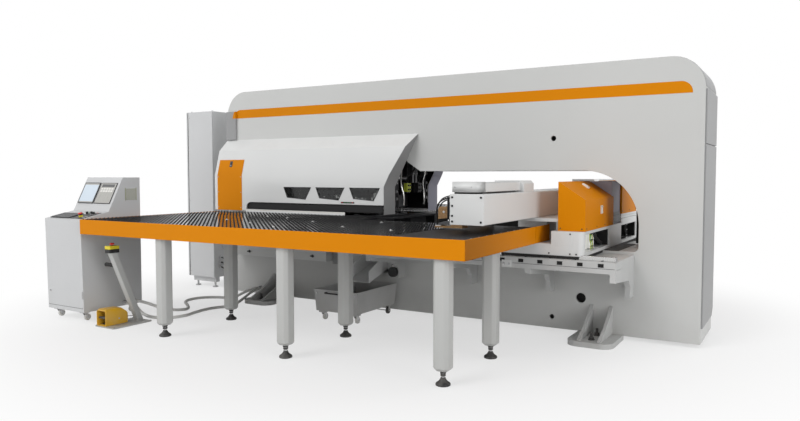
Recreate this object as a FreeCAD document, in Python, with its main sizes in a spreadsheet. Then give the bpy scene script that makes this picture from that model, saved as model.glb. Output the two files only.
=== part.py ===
# CNC turret punch press: an O-frame with two turrets, a bridge that carries the sheet clamps,
# a brush table on each side, an operator console, a pedal stand, a scrap cart and a switch cabinet.
# Millimetres. +X runs along the frame to the end where the bridge parks, +Y to the rear, +Z up.
# The origin is on the floor, under the middle of the whole machine, in the frame's mid-plane.
import FreeCAD, Part
import Sketcher
import math
import os
from FreeCAD import Placement, Rotation, Vector

doc = FreeCAD.newDocument("punch_press")
sheet = doc.addObject("Spreadsheet::Sheet", "Sizes")


class Size:
    """A length or a place, with the sheet expression that it is worked out from."""

    def __init__(self, value, text=None):
        self.value = value
        self.text = text or repr(value)

    def join(self, other, sign, result, swap=False):
        text = other.text if isinstance(other, Size) else repr(other)
        left, right = (text, self.text) if swap else (self.text, text)
        return Size(result, "(" + left + " " + sign + " " + right + ")")

    def __add__(self, other):
        return self.join(other, "+", self.value + number(other))

    def __radd__(self, other):
        return self.join(other, "+", number(other) + self.value, True)

    def __sub__(self, other):
        return self.join(other, "-", self.value - number(other))

    def __rsub__(self, other):
        return self.join(other, "-", number(other) - self.value, True)

    def __mul__(self, other):
        return self.join(other, "*", self.value * number(other))

    def __rmul__(self, other):
        return self.join(other, "*", number(other) * self.value, True)

    def __truediv__(self, other):
        return self.join(other, "/", self.value / number(other))

    def __neg__(self):
        return self.join(0, "-", -self.value, True)


def number(thing):
    return thing.value if isinstance(thing, Size) else thing


sizes = []
nodes = {}


def size(alias, value):
    cell = "A" + str(len(sizes) + 1)
    sheet.set(cell, str(value))
    sheet.setAlias(cell, alias)
    sizes.append(alias)
    return Size(float(value), "Sizes." + alias)


def bind(thing, prop, value):
    if isinstance(value, Size):
        thing.setExpression(prop, value.text)
    else:
        setattr(thing, prop, value)


def place(thing, point, rotation=Rotation()):
    thing.Placement = Placement(Vector(*[number(v) for v in point]), rotation)
    for axis, value in zip("xyz", point):
        if isinstance(value, Size):
            thing.setExpression("Placement.Base." + axis, value.text)
    return thing


def box(name, x, y, z):
    """A block between two places on each axis."""
    block = doc.addObject("Part::Box", name)
    bind(block, "Length", x[1] - x[0])
    bind(block, "Width", y[1] - y[0])
    bind(block, "Height", z[1] - z[0])
    return place(block, (x[0], y[0], z[0]))


turns = {"X": Rotation(Vector(0, 1, 0), 90), "Y": Rotation(Vector(1, 0, 0), -90), "Z": Rotation()}


def rod(name, radius, start, length, axis="Z"):
    """A round bar from its start point along an axis."""
    bar = doc.addObject("Part::Cylinder", name)
    bind(bar, "Radius", radius)
    bind(bar, "Height", length)
    return place(bar, start, turns[axis])


planes = {"XY": "XY_Plane", "XZ": "XZ_Plane", "YZ": "YZ_Plane"}


def body(name):
    return doc.addObject("PartDesign::Body", name)


def outline(holder, name, plane, points, offset):
    """A closed sketch of straight lines on one of the body's own planes."""
    sketch = holder.newObject("Sketcher::SketchObject", name)
    role = planes[plane]
    sketch.AttachmentSupport = [([f for f in holder.Origin.OriginFeatures if f.Role == role][0], "")]
    sketch.MapMode = "FlatFace"
    bind_offset(sketch, plane, offset)
    flat = [Vector(number(a), number(b), 0) for a, b in points]
    for i, point in enumerate(flat):
        sketch.addGeometry(Part.LineSegment(point, flat[(i + 1) % len(flat)]), False)
    for i in range(len(flat)):
        sketch.addConstraint(Sketcher.Constraint("Coincident", i, 2, (i + 1) % len(flat), 1))
    for i, point in enumerate(points):
        for kind, value in zip(("DistanceX", "DistanceY"), point):
            if number(value) == 0:
                other = "PointOnObject"
                line = -2 if kind == "DistanceX" else -1
                sketch.addConstraint(Sketcher.Constraint(other, i, 1, line))
                continue
            row = sketch.addConstraint(Sketcher.Constraint(kind, -1, 1, i, 1, float(number(value))))
            if isinstance(value, Size):
                sketch.renameConstraint(row, kind + str(i))
                sketch.setExpression("Constraints." + kind + str(i), value.text)
    return sketch


def bind_offset(sketch, plane, offset):
    value = -offset if plane == "XZ" else offset
    sketch.AttachmentOffset = Placement(Vector(0, 0, number(value)), Rotation())
    if isinstance(value, Size):
        sketch.setExpression("AttachmentOffset.Base.z", value.text)


def pad(holder, name, plane, points, start, end):
    """Material between two places along the plane's own axis."""
    feature = holder.newObject("PartDesign::Pad", name)
    feature.Profile = outline(holder, name + "_sketch", plane, points, start)
    bind(feature, "Length", end - start)
    feature.Reversed = plane == "XZ"
    return feature


def pocket(holder, name, plane, points, start, end):
    """A straight cut between two places along the plane's own axis."""
    feature = holder.newObject("PartDesign::Pocket", name)
    feature.Profile = outline(holder, name + "_sketch", plane, points, start)
    bind(feature, "Length", end - start)
    feature.Reversed = plane != "XZ"
    return feature


def bore(holder, name, plane, centre, radius, start, end):
    """A round cut between two places along the plane's own axis."""
    sketch = holder.newObject("Sketcher::SketchObject", name + "_sketch")
    role = planes[plane]
    sketch.AttachmentSupport = [([f for f in holder.Origin.OriginFeatures if f.Role == role][0], "")]
    sketch.MapMode = "FlatFace"
    bind_offset(sketch, plane, start)
    spot = Vector(number(centre[0]), number(centre[1]), 0)
    sketch.addGeometry(Part.Circle(spot, Vector(0, 0, 1), number(radius)), False)
    rows = [("Radius", Sketcher.Constraint("Radius", 0, number(radius)), radius)]
    for kind, value in zip(("DistanceX", "DistanceY"), centre):
        if number(value) == 0:
            sketch.addConstraint(Sketcher.Constraint("PointOnObject", 0, 3, -2 if kind == "DistanceX" else -1))
        else:
            rows.append((kind, Sketcher.Constraint(kind, -1, 1, 0, 3, float(number(value))), value))
    for label, constraint, value in rows:
        row = sketch.addConstraint(constraint)
        if isinstance(value, Size):
            sketch.renameConstraint(row, label + "0")
            sketch.setExpression("Constraints." + label + "0", value.text)
    feature = holder.newObject("PartDesign::Pocket", name)
    feature.Profile = sketch
    bind(feature, "Length", end - start)
    feature.Reversed = plane != "XZ"
    return feature


def prism(name, plane, points, start, end):
    holder = body(name)
    pad(holder, name + "_pad", plane, points, start, end)
    return holder


def ring_of(radius, sides, turn=0.0):
    """The corners of a regular polygon."""
    corners = []
    for i in range(sides):
        angle = 2 * math.pi * i / sides + turn
        corners.append((radius * math.cos(angle), radius * math.sin(angle)))
    return corners


def turned(name, points, at=(0, 0, 0), axis="Z"):
    """A turned piece: its half section is given as radius and height."""
    holder = body(name)
    feature = holder.newObject("PartDesign::Revolution", name + "_turn")
    feature.Profile = outline(holder, name + "_sketch", "XZ", points, 0)
    feature.ReferenceAxis = (feature.Profile[0], ["V_Axis"])
    feature.Angle = 360
    return place(holder, at, turns[axis])


def rounded(holder, name, radius, chosen, kind="Fillet"):
    """Rounds or chamfers the edges whose middle point the chooser accepts."""
    doc.recompute()
    base = holder.Tip
    edges = []
    for i, edge in enumerate(base.Shape.Edges):
        middle = edge.valueAt((edge.FirstParameter + edge.LastParameter) / 2)
        if chosen(middle, edge):
            edges.append("Edge" + str(i + 1))
    feature = holder.newObject("PartDesign::" + kind, name)
    feature.Base = (base, edges)
    bind(feature, "Radius" if kind == "Fillet" else "Size", radius)
    return feature


def upright(x, y=None, near=1.0):
    """Chooses vertical edges at one of the given places along X, and along Y when given."""
    def chosen(middle, edge):
        level = edge.BoundBox.ZLength > 0.9 * edge.Length
        fits_x = any(abs(middle.x - number(v)) < near for v in x)
        fits_y = y is None or any(abs(middle.y - number(v)) < near for v in y)
        return level and fits_x and fits_y
    return chosen


def across(x, z, near=1.0):
    """Chooses edges that run along Y through the given places."""
    def chosen(middle, edge):
        level = edge.BoundBox.YLength > 0.9 * edge.Length
        return level and any(abs(middle.x - number(a)) < near for a in x) and any(
            abs(middle.z - number(b)) < near for b in z)
    return chosen


def level(z):
    """Chooses the edges that lie at a height."""
    def chosen(middle, edge):
        return abs(middle.z - number(z)) < 0.1 and edge.BoundBox.ZLength < 0.1
    return chosen


def copied(source, name, move):
    link = doc.addObject("App::Link", name)
    link.LinkedObject = source
    return place(link, move)


def mirrored(source, name):
    """The same piece on the other side of the frame's mid-plane."""
    mirror = doc.addObject("Part::Mirroring", name)
    mirror.Source = source
    mirror.Base = Vector(0, 0, 0)
    mirror.Normal = Vector(0, 1, 0)
    return mirror


def fused(name, parts):
    joint = doc.addObject("Part::MultiFuse", name)
    joint.Shapes = parts
    joint.Refine = True
    return joint


def trimmed(name, base, tool):
    cut = doc.addObject("Part::Cut", name)
    cut.Base = base
    cut.Tool = tool
    cut.Refine = True
    return cut


def overlap(name, base, tool):
    shared = doc.addObject("Part::Common", name)
    shared.Base = base
    shared.Tool = tool
    return shared


def node(name, thing):
    thing.Label = name
    nodes[name] = thing
    return thing


def group(name, parts):
    """Separate solids of one kind, kept in one file."""
    holder = doc.addObject("Part::Compound", name)
    holder.Links = parts
    return node(name, holder)


def both_sides(name, piece):
    return group(name, [piece, mirrored(piece, name + "_rear")])


# ---- driving dimensions ----------------------------------------------------------------------
frame_right = size("frame_right", 2798)
frame_long = size("frame_long", 4808)
frame_deep = size("frame_deep", 650)
frame_foot = size("frame_foot", 30)
frame_top = size("frame_top", 2190)
frame_corner = size("frame_corner", 250)
post_wide = size("post_wide", 458)
throat_floor = size("throat_floor", 700)
throat_top = size("throat_top", 1335)
throat_corner = size("throat_corner", 430)
bay_left = size("bay_left", -1140)
bay_top = size("bay_top", 1560)
hood_deep = size("hood_deep", 200)
hood_top = size("hood_top", 1680)
hood_low = size("hood_low", 930)
hood_end = size("hood_end", 130)
sheet_skin = size("sheet_skin", 4)
table_reach = size("table_reach", 1845)
table_left = size("table_left", -1940)
table_right = size("table_right", 1730)
table_height = size("table_height", 916)
fascia_deep = size("fascia_deep", 126)
table_plate = size("table_plate", 16)
leg_side = size("leg_side", 110)
leg_first = size("leg_first", 1550)
leg_pitch = size("leg_pitch", 1260)
brush_pitch = size("brush_pitch", 41.5)
brush_high = size("brush_high", 10)
brush_wide = size("brush_wide", 17)
ledge_deep = size("ledge_deep", 600)
ledge_top = size("ledge_top", 680)
saddle_base = size("saddle_base", 706)
saddle_wide = size("saddle_wide", 639)
beam_wide = size("beam_wide", 240)
beam_high = size("beam_high", 202)
beam_base = size("beam_base", 975)
beam_long = size("beam_long", 3620)
turret_x = size("turret_x", -490)
turret_round = size("turret_round", 490)
station_ring = size("station_ring", 425)
station_big = size("station_big", 37)
station_small = size("station_small", 23)
shaft_round = size("shaft_round", 80)
upper_disc = size("upper_disc", 985)
lower_disc = size("lower_disc", 800)
disc_thick = size("disc_thick", 115)
running = size("running", 0.05)
seat_gap = size("seat_gap", 0.3)
console_wide = size("console_wide", 520)
console_deep = size("console_deep", 610)
cart_wide = size("cart_wide", 470)
cart_long = size("cart_long", 650)
caster_round = size("caster_round", 30)
cabinet_high = size("cabinet_high", 1905)
conduit_round = size("conduit_round", 14)

face = frame_deep / 2
front = -face
frame_left = frame_right - frame_long
throat_right = frame_right - post_wide
table_front = front - table_reach
plate_top = table_height - 4
plate_base = plate_top - table_plate
brush_top = plate_top + brush_high
punch_x = turret_x + station_ring
brush_edge = 12
slot_low = 370
slot_top = 620
cart_top = 285
notch_y = front - 620
parked = size("parked", 2074)
skin = sheet_skin


# ---- O-frame ---------------------------------------------------------------------------------
def o_frame():
    """A closed ring: lower beam, end posts and upper beam, with the turret bay at the left."""
    ring = body("o_frame")
    pad(ring, "frame_plate", "XZ", [(frame_left, frame_foot), (frame_right, frame_foot),
        (frame_right, frame_top), (frame_left, frame_top)], front, face)
    pocket(ring, "throat_window", "XZ", [(bay_left, throat_floor), (throat_right, throat_floor),
           (throat_right, throat_top), (400, throat_top), (270, throat_top + 82), (150, bay_top),
           (bay_left, bay_top)], front, face)
    rounded(ring, "top_corners", frame_corner, across((frame_left, frame_right), (frame_top,)))
    rounded(ring, "throat_curve", throat_corner, across((throat_right,), (throat_top,)))
    rounded(ring, "throat_foot", 40, across((throat_right, bay_left), (throat_floor,)))
    holes = [((frame_right - 1145, 1600), 22), ((frame_right - 901, 302), 40), ((frame_right - 1142, 124), 20)]
    for i, (centre, radius) in enumerate(holes):
        bore(ring, "lifting_hole_" + str(i), "XZ", centre, radius, front, front + 60)
    grip = shaft_round + running
    bore(ring, "upper_bearing_seat", "XY", (turret_x, 0), grip, bay_top, bay_top + 60)
    bore(ring, "lower_bearing_seat", "XY", (turret_x, 0), grip, throat_floor - 60, throat_floor)
    bore(ring, "slug_passage", "XY", (punch_x, 0), 60, slot_top - 20, throat_floor)
    pocket(ring, "slug_window", "XZ", [(punch_x - 150, slot_low), (punch_x + 150, slot_low),
           (punch_x + 150, slot_top), (punch_x - 150, slot_top)], front, 80)
    return node("o_frame", ring)


def frame_covers():
    """Two sheet panels over the parking end, the lower with a cut corner, and a cable duct."""
    inset = 10
    low = prism("end_cover_low", "YZ", [(front + inset, 150), (face - inset - 60, 150), (face - inset, 210),
                (face - inset, 1528), (front + inset, 1528)], frame_right, frame_right + 12)
    corner_start = frame_top - frame_corner
    high = box("end_cover_high", (frame_right, frame_right + 12), (front + inset, face - inset),
               (1534, corner_start - 4))
    duct = box("cable_duct", (frame_left, frame_left + 135), (front - 20, front), (hood_top, 1985))
    group("frame_covers", [low, high, duct])


def frame_feet():
    """Cast anchor feet: a round-nosed base, two curved gussets and two bolt holes."""
    wide = 350
    long = 400
    thick = 40
    feet = []
    for side, left in (("right", frame_right - 908), ("left", frame_left + 550)):
        foot = body("foot_" + side)
        pad(foot, "base_" + side, "XY", [(left, front - long), (left + wide, front - long),
            (left + wide, front), (left, front)], 0, thick)
        rounded(foot, "nose_" + side, 90, upright((left, left + wide), (front - long,)))
        for i, rib in enumerate((left + 85, left + 240)):
            pad(foot, "gusset_" + side + str(i), "YZ", [(front, 20), (front - 370, 20), (front - 370, 52),
                (front - 210, 118), (front - 90, 188), (front, 262)], rib, rib + 25)
        for i, back in enumerate((130, 290)):
            bore(foot, "anchor_" + side + str(i), "XY", (left + wide / 2, front - back), 14, 0, thick)
        feet += [foot, mirrored(foot, "foot_rear_" + side)]
    group("frame_feet", feet)


def hood_section(inner):
    """The hood's side outline, shrunk inwards by a distance."""
    depth = hood_deep - inner
    return [(front + inner, hood_top - inner * 2), (front - 130 + inner * 0.9, 1560 - inner * 0.6),
            (front - depth, 1300 - inner * 0.15), (front - depth, hood_low - inner),
            (front + inner, hood_low - inner)]


def hood_side(inner):
    """The hood's front outline: the right end slants over the throat."""
    return [(frame_left + inner, hood_low - inner * 2), (hood_end - inner, hood_low - inner * 2),
            (hood_end - inner, 1190 + inner * 0.2), (380 - inner, hood_top + inner * 0.3),
            (frame_left + inner, hood_top + inner * 0.3)]


def windows():
    """Left edges and widths of the three trapezoid windows."""
    return [(-1049, 334), (-645, 330), (-245, 329)]


def hood():
    """A folded sheet hood, open towards the frame and underneath, with windows and a sheet slot."""
    deep = front - hood_deep
    right = 380
    outer = overlap("hood_outer", prism("hood_fold", "YZ", hood_section(0), frame_left, right),
                    prism("hood_slant", "XZ", hood_side(0), deep, front))
    fold = prism("hood_fold_inner", "YZ", hood_section(skin), frame_left + skin, right - skin)
    inside = overlap("hood_inner", fold, prism("hood_slant_inner", "XZ", hood_side(skin), deep, front + skin))
    cuts = [inside]
    low = deep - 1
    for i, (left, wide) in enumerate(windows()):
        cuts.append(prism("window_cut_" + str(i), "XZ", [(left + 44, 1078), (left + wide - 70, 1062),
                    (left + wide, 1178), (left, 1178)], low, low + 12))
    slot_left = -1560
    slot_curve = 60
    slot_high = 1020
    cuts.append(box("slot_cut", (slot_left + slot_curve, 500), (low, front + 1), (hood_low - 1, slot_high)))
    cuts.append(box("slot_low", (slot_left, slot_left + slot_curve), (low, front + 1),
                    (hood_low - 1, slot_high - slot_curve)))
    cuts.append(rod("slot_end", slot_curve, (slot_left + slot_curve, low, slot_high - slot_curve), 12, "Y"))
    return trimmed("hood", outer, fused("hood_cuts", cuts))


def hoods():
    shell = hood()
    node("hood_front", shell)
    node("hood_rear", mirrored(shell, "hood_rear"))
    panes = []
    deep = front - hood_deep + skin
    for i, (left, wide) in enumerate(windows()):
        pane = prism("pane_" + str(i), "XZ", [(left + 34, 1066), (left + wide - 60, 1050),
                     (left + wide + 12, 1190), (left - 12, 1190)], deep, deep + 3)
        panes += [pane, mirrored(pane, "pane_rear_" + str(i))]
    group("hood_windows", panes)
    low = front - hood_deep
    guard = prism("corner_guard", "YZ", [(low, hood_low), (low, 1300), (low + 43, 1460),
                  (low + 40, 1461), (low - 3, 1301), (low - 3, hood_low)], -1970, -1620)
    both_sides("corner_guards", guard)


def lower_skirts():
    """Sheet skirts under the hoods, closed at both ends by returns against the frame."""
    deep = 160
    out = front - deep
    skirt = prism("lower_skirt", "XY", [(-1850, front), (-1850, out), (-560, out), (-560, front),
                  (-560 - skin, front), (-560 - skin, out + skin), (-1850 + skin, out + skin),
                  (-1850 + skin, front)], 455, 780)
    both_sides("lower_skirts", skirt)


# ---- turrets, ram and slug path --------------------------------------------------------------
stations = 12
station_sides = 12


def station(radius):
    """The outline of a tool station, which keys its holder against turning."""
    return [(radius * a, radius * b) for a, b in ring_of(1, station_sides)]


def turret(name, base, hub):
    """A disc bored with a ring of large and small tool stations, and the hub and shaft that carry it."""
    disc = turned(name + "_disc", [(0, base), (turret_round, base), (turret_round, base + disc_thick),
                  (0, base + disc_thick)], (turret_x, 0, 0))
    for label, radius, angle in (("big", station_big, 0), ("small", station_small, 360 / stations)):
        turn = math.radians(angle)
        spot = (station_ring * math.cos(turn), station_ring * math.sin(turn))
        rim = [(spot[0] + a, spot[1] + b) for a, b in station(radius)]
        hole = pocket(disc, name + "_" + label, "XY", rim, base, base + disc_thick)
        pattern = disc.newObject("PartDesign::PolarPattern", name + "_" + label + "_ring")
        pattern.Originals = [hole]
        pattern.Axis = ([f for f in disc.Origin.OriginFeatures if f.Role == "Z_Axis"][0], [""])
        pattern.Angle = 360
        pattern.Occurrences = stations // 2
        disc.Tip = pattern
    return group(name, [disc, turned(name + "_hub", hub, (turret_x, 0, 0))])


def turrets():
    """Both turrets, and a punch holder and a die holder seated in each pair of stations."""
    hub = 130
    top = upper_disc + disc_thick
    turret("upper_turret", upper_disc, [(0, top), (hub, top), (hub, 1400), (shaft_round, 1400),
           (shaft_round, bay_top + 50), (0, bay_top + 50)])
    foot = throat_floor + 2
    turret("lower_turret", lower_disc, [(0, throat_floor - 50), (shaft_round, throat_floor - 50),
           (shaft_round, foot), (hub, foot), (hub, lower_disc), (0, lower_disc)])
    tools = {}
    for big, radius in ((True, station_big), (False, station_small)):
        label = "big" if big else "small"
        outer = radius - seat_gap
        tools["punch", big] = prism("punch_" + label, "XY", station(outer), 0, disc_thick + 32)
        tools["die", big] = prism("die_" + label, "XY", station(outer), 0, disc_thick - 30)
    sets = {"punch": [], "die": []}
    for i in range(stations):
        turn = 2 * math.pi * i / stations
        spot = (turret_x + station_ring * math.cos(turn), station_ring * math.sin(turn), 0)
        for kind in sets:
            source = tools[kind, i % 2 == 0]
            rise = lower_disc + 40 if kind == "die" else upper_disc - 20
            sets[kind].append(copied(source, kind + "_at_" + str(i), (spot[0], spot[1], rise)))
    group("punch_holders", sets["punch"])
    group("die_holders", sets["die"])


def ram():
    """The hydraulic ram hangs from the bay roof; its striker slides down onto the punch."""
    stroke_room = 1150
    striker_round = 38
    barrel = turned("ram_barrel", [(striker_round + running, 1250), (120, 1250), (120, bay_top - 19),
                    (0, bay_top - 19), (0, 1420), (striker_round + running, 1420)], (punch_x, 0, 0))
    flange = place(prism("ram_flange", "XY", ring_of(170, 12), bay_top - 20, bay_top), (punch_x, 0, 0))
    manifold = box("valve_manifold", (punch_x + 110, punch_x + 190), (-90, 90), (1290, 1410))
    valves = []
    for i, y in enumerate((-52, 8)):
        valves.append(box("valve_" + str(i), (punch_x + 189, punch_x + 229), (y, y + 44), (1300, 1400)))
        valves.append(box("solenoid_" + str(i), (punch_x + 194, punch_x + 224), (y + 7, y + 37), (1225, 1301)))
    node("ram_cylinder", fused("ram_whole", [barrel, flange, manifold] + valves))
    striker = turned("striker", [(0, stroke_room), (striker_round, stroke_room), (striker_round, 1380),
                     (0, 1380)], (punch_x, 0, 0))
    node("striker", striker)
    anvil = body("die_anvil")
    top = lower_disc - 2
    pad(anvil, "anvil_block", "XY", [(punch_x - 90, -100), (punch_x + 90, -100), (punch_x + 90, 100),
        (punch_x - 90, 100)], throat_floor, top)
    bore(anvil, "anvil_bore", "XY", (punch_x, 0), 45, throat_floor, top)
    node("die_anvil", anvil)


def slug_chute():
    """A sheet trough from the window in the lower beam down to the cart."""
    half = 120
    out = front - 330
    back = 70
    low = cart_top + 32
    start = slot_top - 90
    shell = prism("chute_outer", "YZ", [(back, start), (back, slot_top - 20), (front, slot_top - 40),
                  (out, low + 110), (out, low)], punch_x - half, punch_x + half)
    room = prism("chute_inner", "YZ", [(back + 1, start + 5), (back + 1, slot_top + 40), (out - 1, slot_top),
                 (out - 1, low + 4)], punch_x - half + skin, punch_x + half - skin)
    flange = box("chute_flange", (punch_x - half - 70, punch_x + half + 70), (front - skin, front),
                 (slot_low - 20, slot_top + 30))
    mouth = box("chute_flange_mouth", (punch_x - half, punch_x + half), (front - skin - 1, front + 1),
                (slot_low, slot_top))
    plain = trimmed("chute_trough", shell, room)
    node("slug_chute", fused("chute_whole", [plain, trimmed("chute_flange_cut", flange, mouth)]))


# ---- rail ledges -----------------------------------------------------------------------------
ledge_left = 200
ledge_right = 2310


def rail_ledges():
    """Cast ledges that carry the bridge rails, with a row of clamp pockets along the front."""
    out = front - ledge_deep
    slab = body("ledge_slab")
    pad(slab, "ledge_plate", "YZ", [(front, 612), (out + 40, 624), (out + 40, 596), (out, 596),
        (out, ledge_top), (front, ledge_top)], ledge_left, ledge_right)
    first = ledge_right - 125
    notch = pocket(slab, "clamp_pocket", "XZ", [(first, 640), (first + 42, 640), (first + 42, 668),
                   (first, 668)], out, out + 18)
    row = slab.newObject("PartDesign::LinearPattern", "clamp_pockets")
    row.Originals = [notch]
    row.Direction = ([f for f in slab.Origin.OriginFeatures if f.Role == "X_Axis"][0], [""])
    row.Reversed = True
    row.Length = 1800
    row.Occurrences = 13
    slab.Tip = row
    parts = [slab]
    for i, x in enumerate((ledge_right - 40, 1640, 940, ledge_left)):
        low = 534 if i == 0 else 560
        parts.append(prism("ledge_rib_" + str(i), "YZ", [(front, 620), (out, 620), (out, low),
                     (front - 170, 500), (front - 120, 440), (front - 120, 352), (front, 352)], x, x + 40))
    both_sides("rail_ledges", fused("ledge", parts))
    rail = box("bridge_rail", (ledge_left + 20, ledge_right - 8), (out + 30, out + 65),
               (ledge_top, saddle_base + 8 - seat_gap))
    both_sides("bridge_rails", rail)


# ---- bridge ----------------------------------------------------------------------------------
def bridge_saddle():
    """The casting that runs on both rails: a low bed, a box under each drive and the beam's seats."""
    half = face + 580
    left = parked - saddle_wide
    bed_top = saddle_base + 85
    box_left = parked - 241
    box_top = 886
    saddle = body("bridge_saddle")
    pad(saddle, "bed", "XY", [(left, -half), (parked, -half), (parked, half), (left, half)],
        saddle_base, bed_top)
    pad(saddle, "drive_box", "XY", [(box_left, -half), (parked, -half), (parked, half), (box_left, half)],
        bed_top - 1, box_top)
    rounded(saddle, "saddle_corners", 40, upright((parked,), (-half, half)))
    seat_left = 1450
    for i, sign in enumerate((-1, 1)):
        y = sorted((sign * (face + 250), sign * (face + 20)), key=number)
        pad(saddle, "riser_" + str(i), "XY", [(seat_left, y[0]), (seat_left + beam_wide, y[0]),
            (seat_left + beam_wide, y[1]), (seat_left, y[1])], bed_top - 1, beam_base - 24)
        y = sorted((sign * (face + 520), sign * (face - 150)), key=number)
        pad(saddle, "deck_" + str(i), "XY", [(seat_left, y[0]), (box_left + 36, y[0]), (box_left + 36, y[1]),
            (seat_left, y[1])], beam_base - 25, beam_base)
        y = sorted((sign * (half - 60), sign * 150), key=number)
        pocket(saddle, "end_opening_" + str(i), "YZ", [(y[0], saddle_base + 25), (y[1], saddle_base + 25),
               (y[1], box_top - 22), (y[0], box_top - 22)], parked - 200, parked)
        rail = sorted((sign * (face + ledge_deep - 27), sign * (face + ledge_deep - 68)), key=number)
        pocket(saddle, "rail_groove_" + str(i), "YZ", [(rail[0], saddle_base), (rail[1], saddle_base),
               (rail[1], saddle_base + 8), (rail[0], saddle_base + 8)], left, parked)
    node("bridge_saddle", saddle)


def carriage_beam():
    """A box beam along Y with two rails on its turret side and a bolted plate on each end."""
    half = beam_long / 2
    left = 1450
    top = beam_base + beam_high
    beam = body("beam_tube")
    pad(beam, "beam_section", "XZ", [(left, beam_base), (left + beam_wide, beam_base),
        (left + beam_wide, top), (left, top)], -half + 8, half - 8)
    rounded(beam, "beam_edges", 8, lambda middle, edge: edge.BoundBox.YLength > 0.9 * edge.Length)
    for i, z in enumerate((beam_base + 35, beam_base + 145)):
        pad(beam, "beam_rail_" + str(i), "XZ", [(left - 12, z), (left + 1, z), (left + 1, z + 22),
            (left - 12, z + 22)], -half + 20, half - 20)
    cap = box("beam_cap", (left, left + beam_wide), (-half, -half + 8), (beam_base, top))
    group("carriage_beam", [beam, cap, mirrored(cap, "beam_cap_rear")])
    tray = prism("tray", "XZ", [(left + 20, top + 12), (left + 210, top + 12), (left + 210, top + 72),
                 (left + 206, top + 72), (left + 206, top + 16), (left + 24, top + 16), (left + 24, top + 72),
                 (left + 20, top + 72)], -half + 90, front - 760)
    pads = [box("tray_pad_" + str(i), (left + 60, left + 170), (y, y + 40), (top, top + 12))
            for i, y in enumerate((-half + 160, front - 860))]
    trough = fused("tray_front", [tray] + pads)
    cover = prism("tray_cover", "XZ", [(left + 6, top), (left + 234, top), (left + 234, top + 60),
                  (left + 214, top + 82), (left + 6, top + 82)], front - 755, front - 545)
    group("beam_trays", [trough, mirrored(trough, "tray_rear"), cover, mirrored(cover, "tray_cover_rear")])


def drive_covers():
    """Sheet covers over the carriage drives, with a slanted top and two latches each."""
    left = parked - 204
    base = 886
    shell = prism("drive_cover", "XZ", [(left, base), (parked, base), (parked, 1119), (left, 1251)],
                  front - 536, front + 305)
    guard = box("saddle_guard", (table_right - 6, table_right), (notch_y + 6, front - 300),
                (saddle_base + 85, table_height))
    side = box("side_latch", (parked, parked + 9), (front - 110, front - 78), (1000, 1062))
    slope = (1251 - 1119) / 204
    lift = 1251 - 40 * slope
    top = prism("top_latch", "XZ", [(left + 40, lift), (left + 90, lift - 50 * slope),
                (left + 96, lift - 50 * slope + 9), (left + 46, lift + 9)], front - 60, front - 28)
    group("drive_covers", [p for s in (shell, guard, side, top) for p in (s, mirrored(s, s.Name + "_rear"))])


clamp_first = -1100
clamp_pitch = 480
jaw_pivot = (1312, 968)


def clamps():
    """The carriage bar on the beam's rails, two clamp bodies and their pivoting jaws."""
    seat = 1450 - 12 - seat_gap
    bar = box("clamp_carriage", (seat - 60, seat), (front - 1380, front - 420),
              (beam_base + 25, beam_base + 177))
    node("clamp_carriage", bar)
    back = seat - 60
    low = brush_top + 2
    holder = body("clamp_body")
    pad(holder, "clamp_block", "XZ", [(1160, low), (back, low), (back, 1110), (1290, 1110), (1290, low + 12),
        (1160, low + 12)], -45, 45)
    pocket(holder, "jaw_room", "XZ", [(1280, low + 12), (1354, low + 12), (1354, 1030), (1280, 1030)], -30, 30)
    can = place(prism("clamp_cylinder", "XY", ring_of(24, 12), 0, 63), (1334, 0, 1109))
    pin = rod("jaw_pin", 6, (jaw_pivot[0], -32, jaw_pivot[1]), 64, "Y")
    whole = fused("clamp_whole", [holder, can, pin])
    first = front + clamp_first
    group("clamp_bodies", [copied(whole, "clamp_one", (0, first, 0)),
                           copied(whole, "clamp_two", (0, first + clamp_pitch, 0))])
    jaw = body("jaw")
    grip = low + 12 + 7
    pad(jaw, "jaw_plate", "XZ", [(1163, grip), (1290, grip), (1330, 952), (1338, 990), (1310, 1000),
        (1284, 978), (1163, grip + 9)], -28, 28)
    bore(jaw, "jaw_bore", "XZ", jaw_pivot, 6 + running, -28, 28)
    node("clamp_jaw_front", copied(jaw, "clamp_jaw_front", (0, first, 0)))
    node("clamp_jaw_rear", copied(jaw, "clamp_jaw_rear", (0, first + clamp_pitch, 0)))


# ---- tables ----------------------------------------------------------------------------------
leg_places = [leg_first - leg_pitch * i for i in range(3)]


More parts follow.
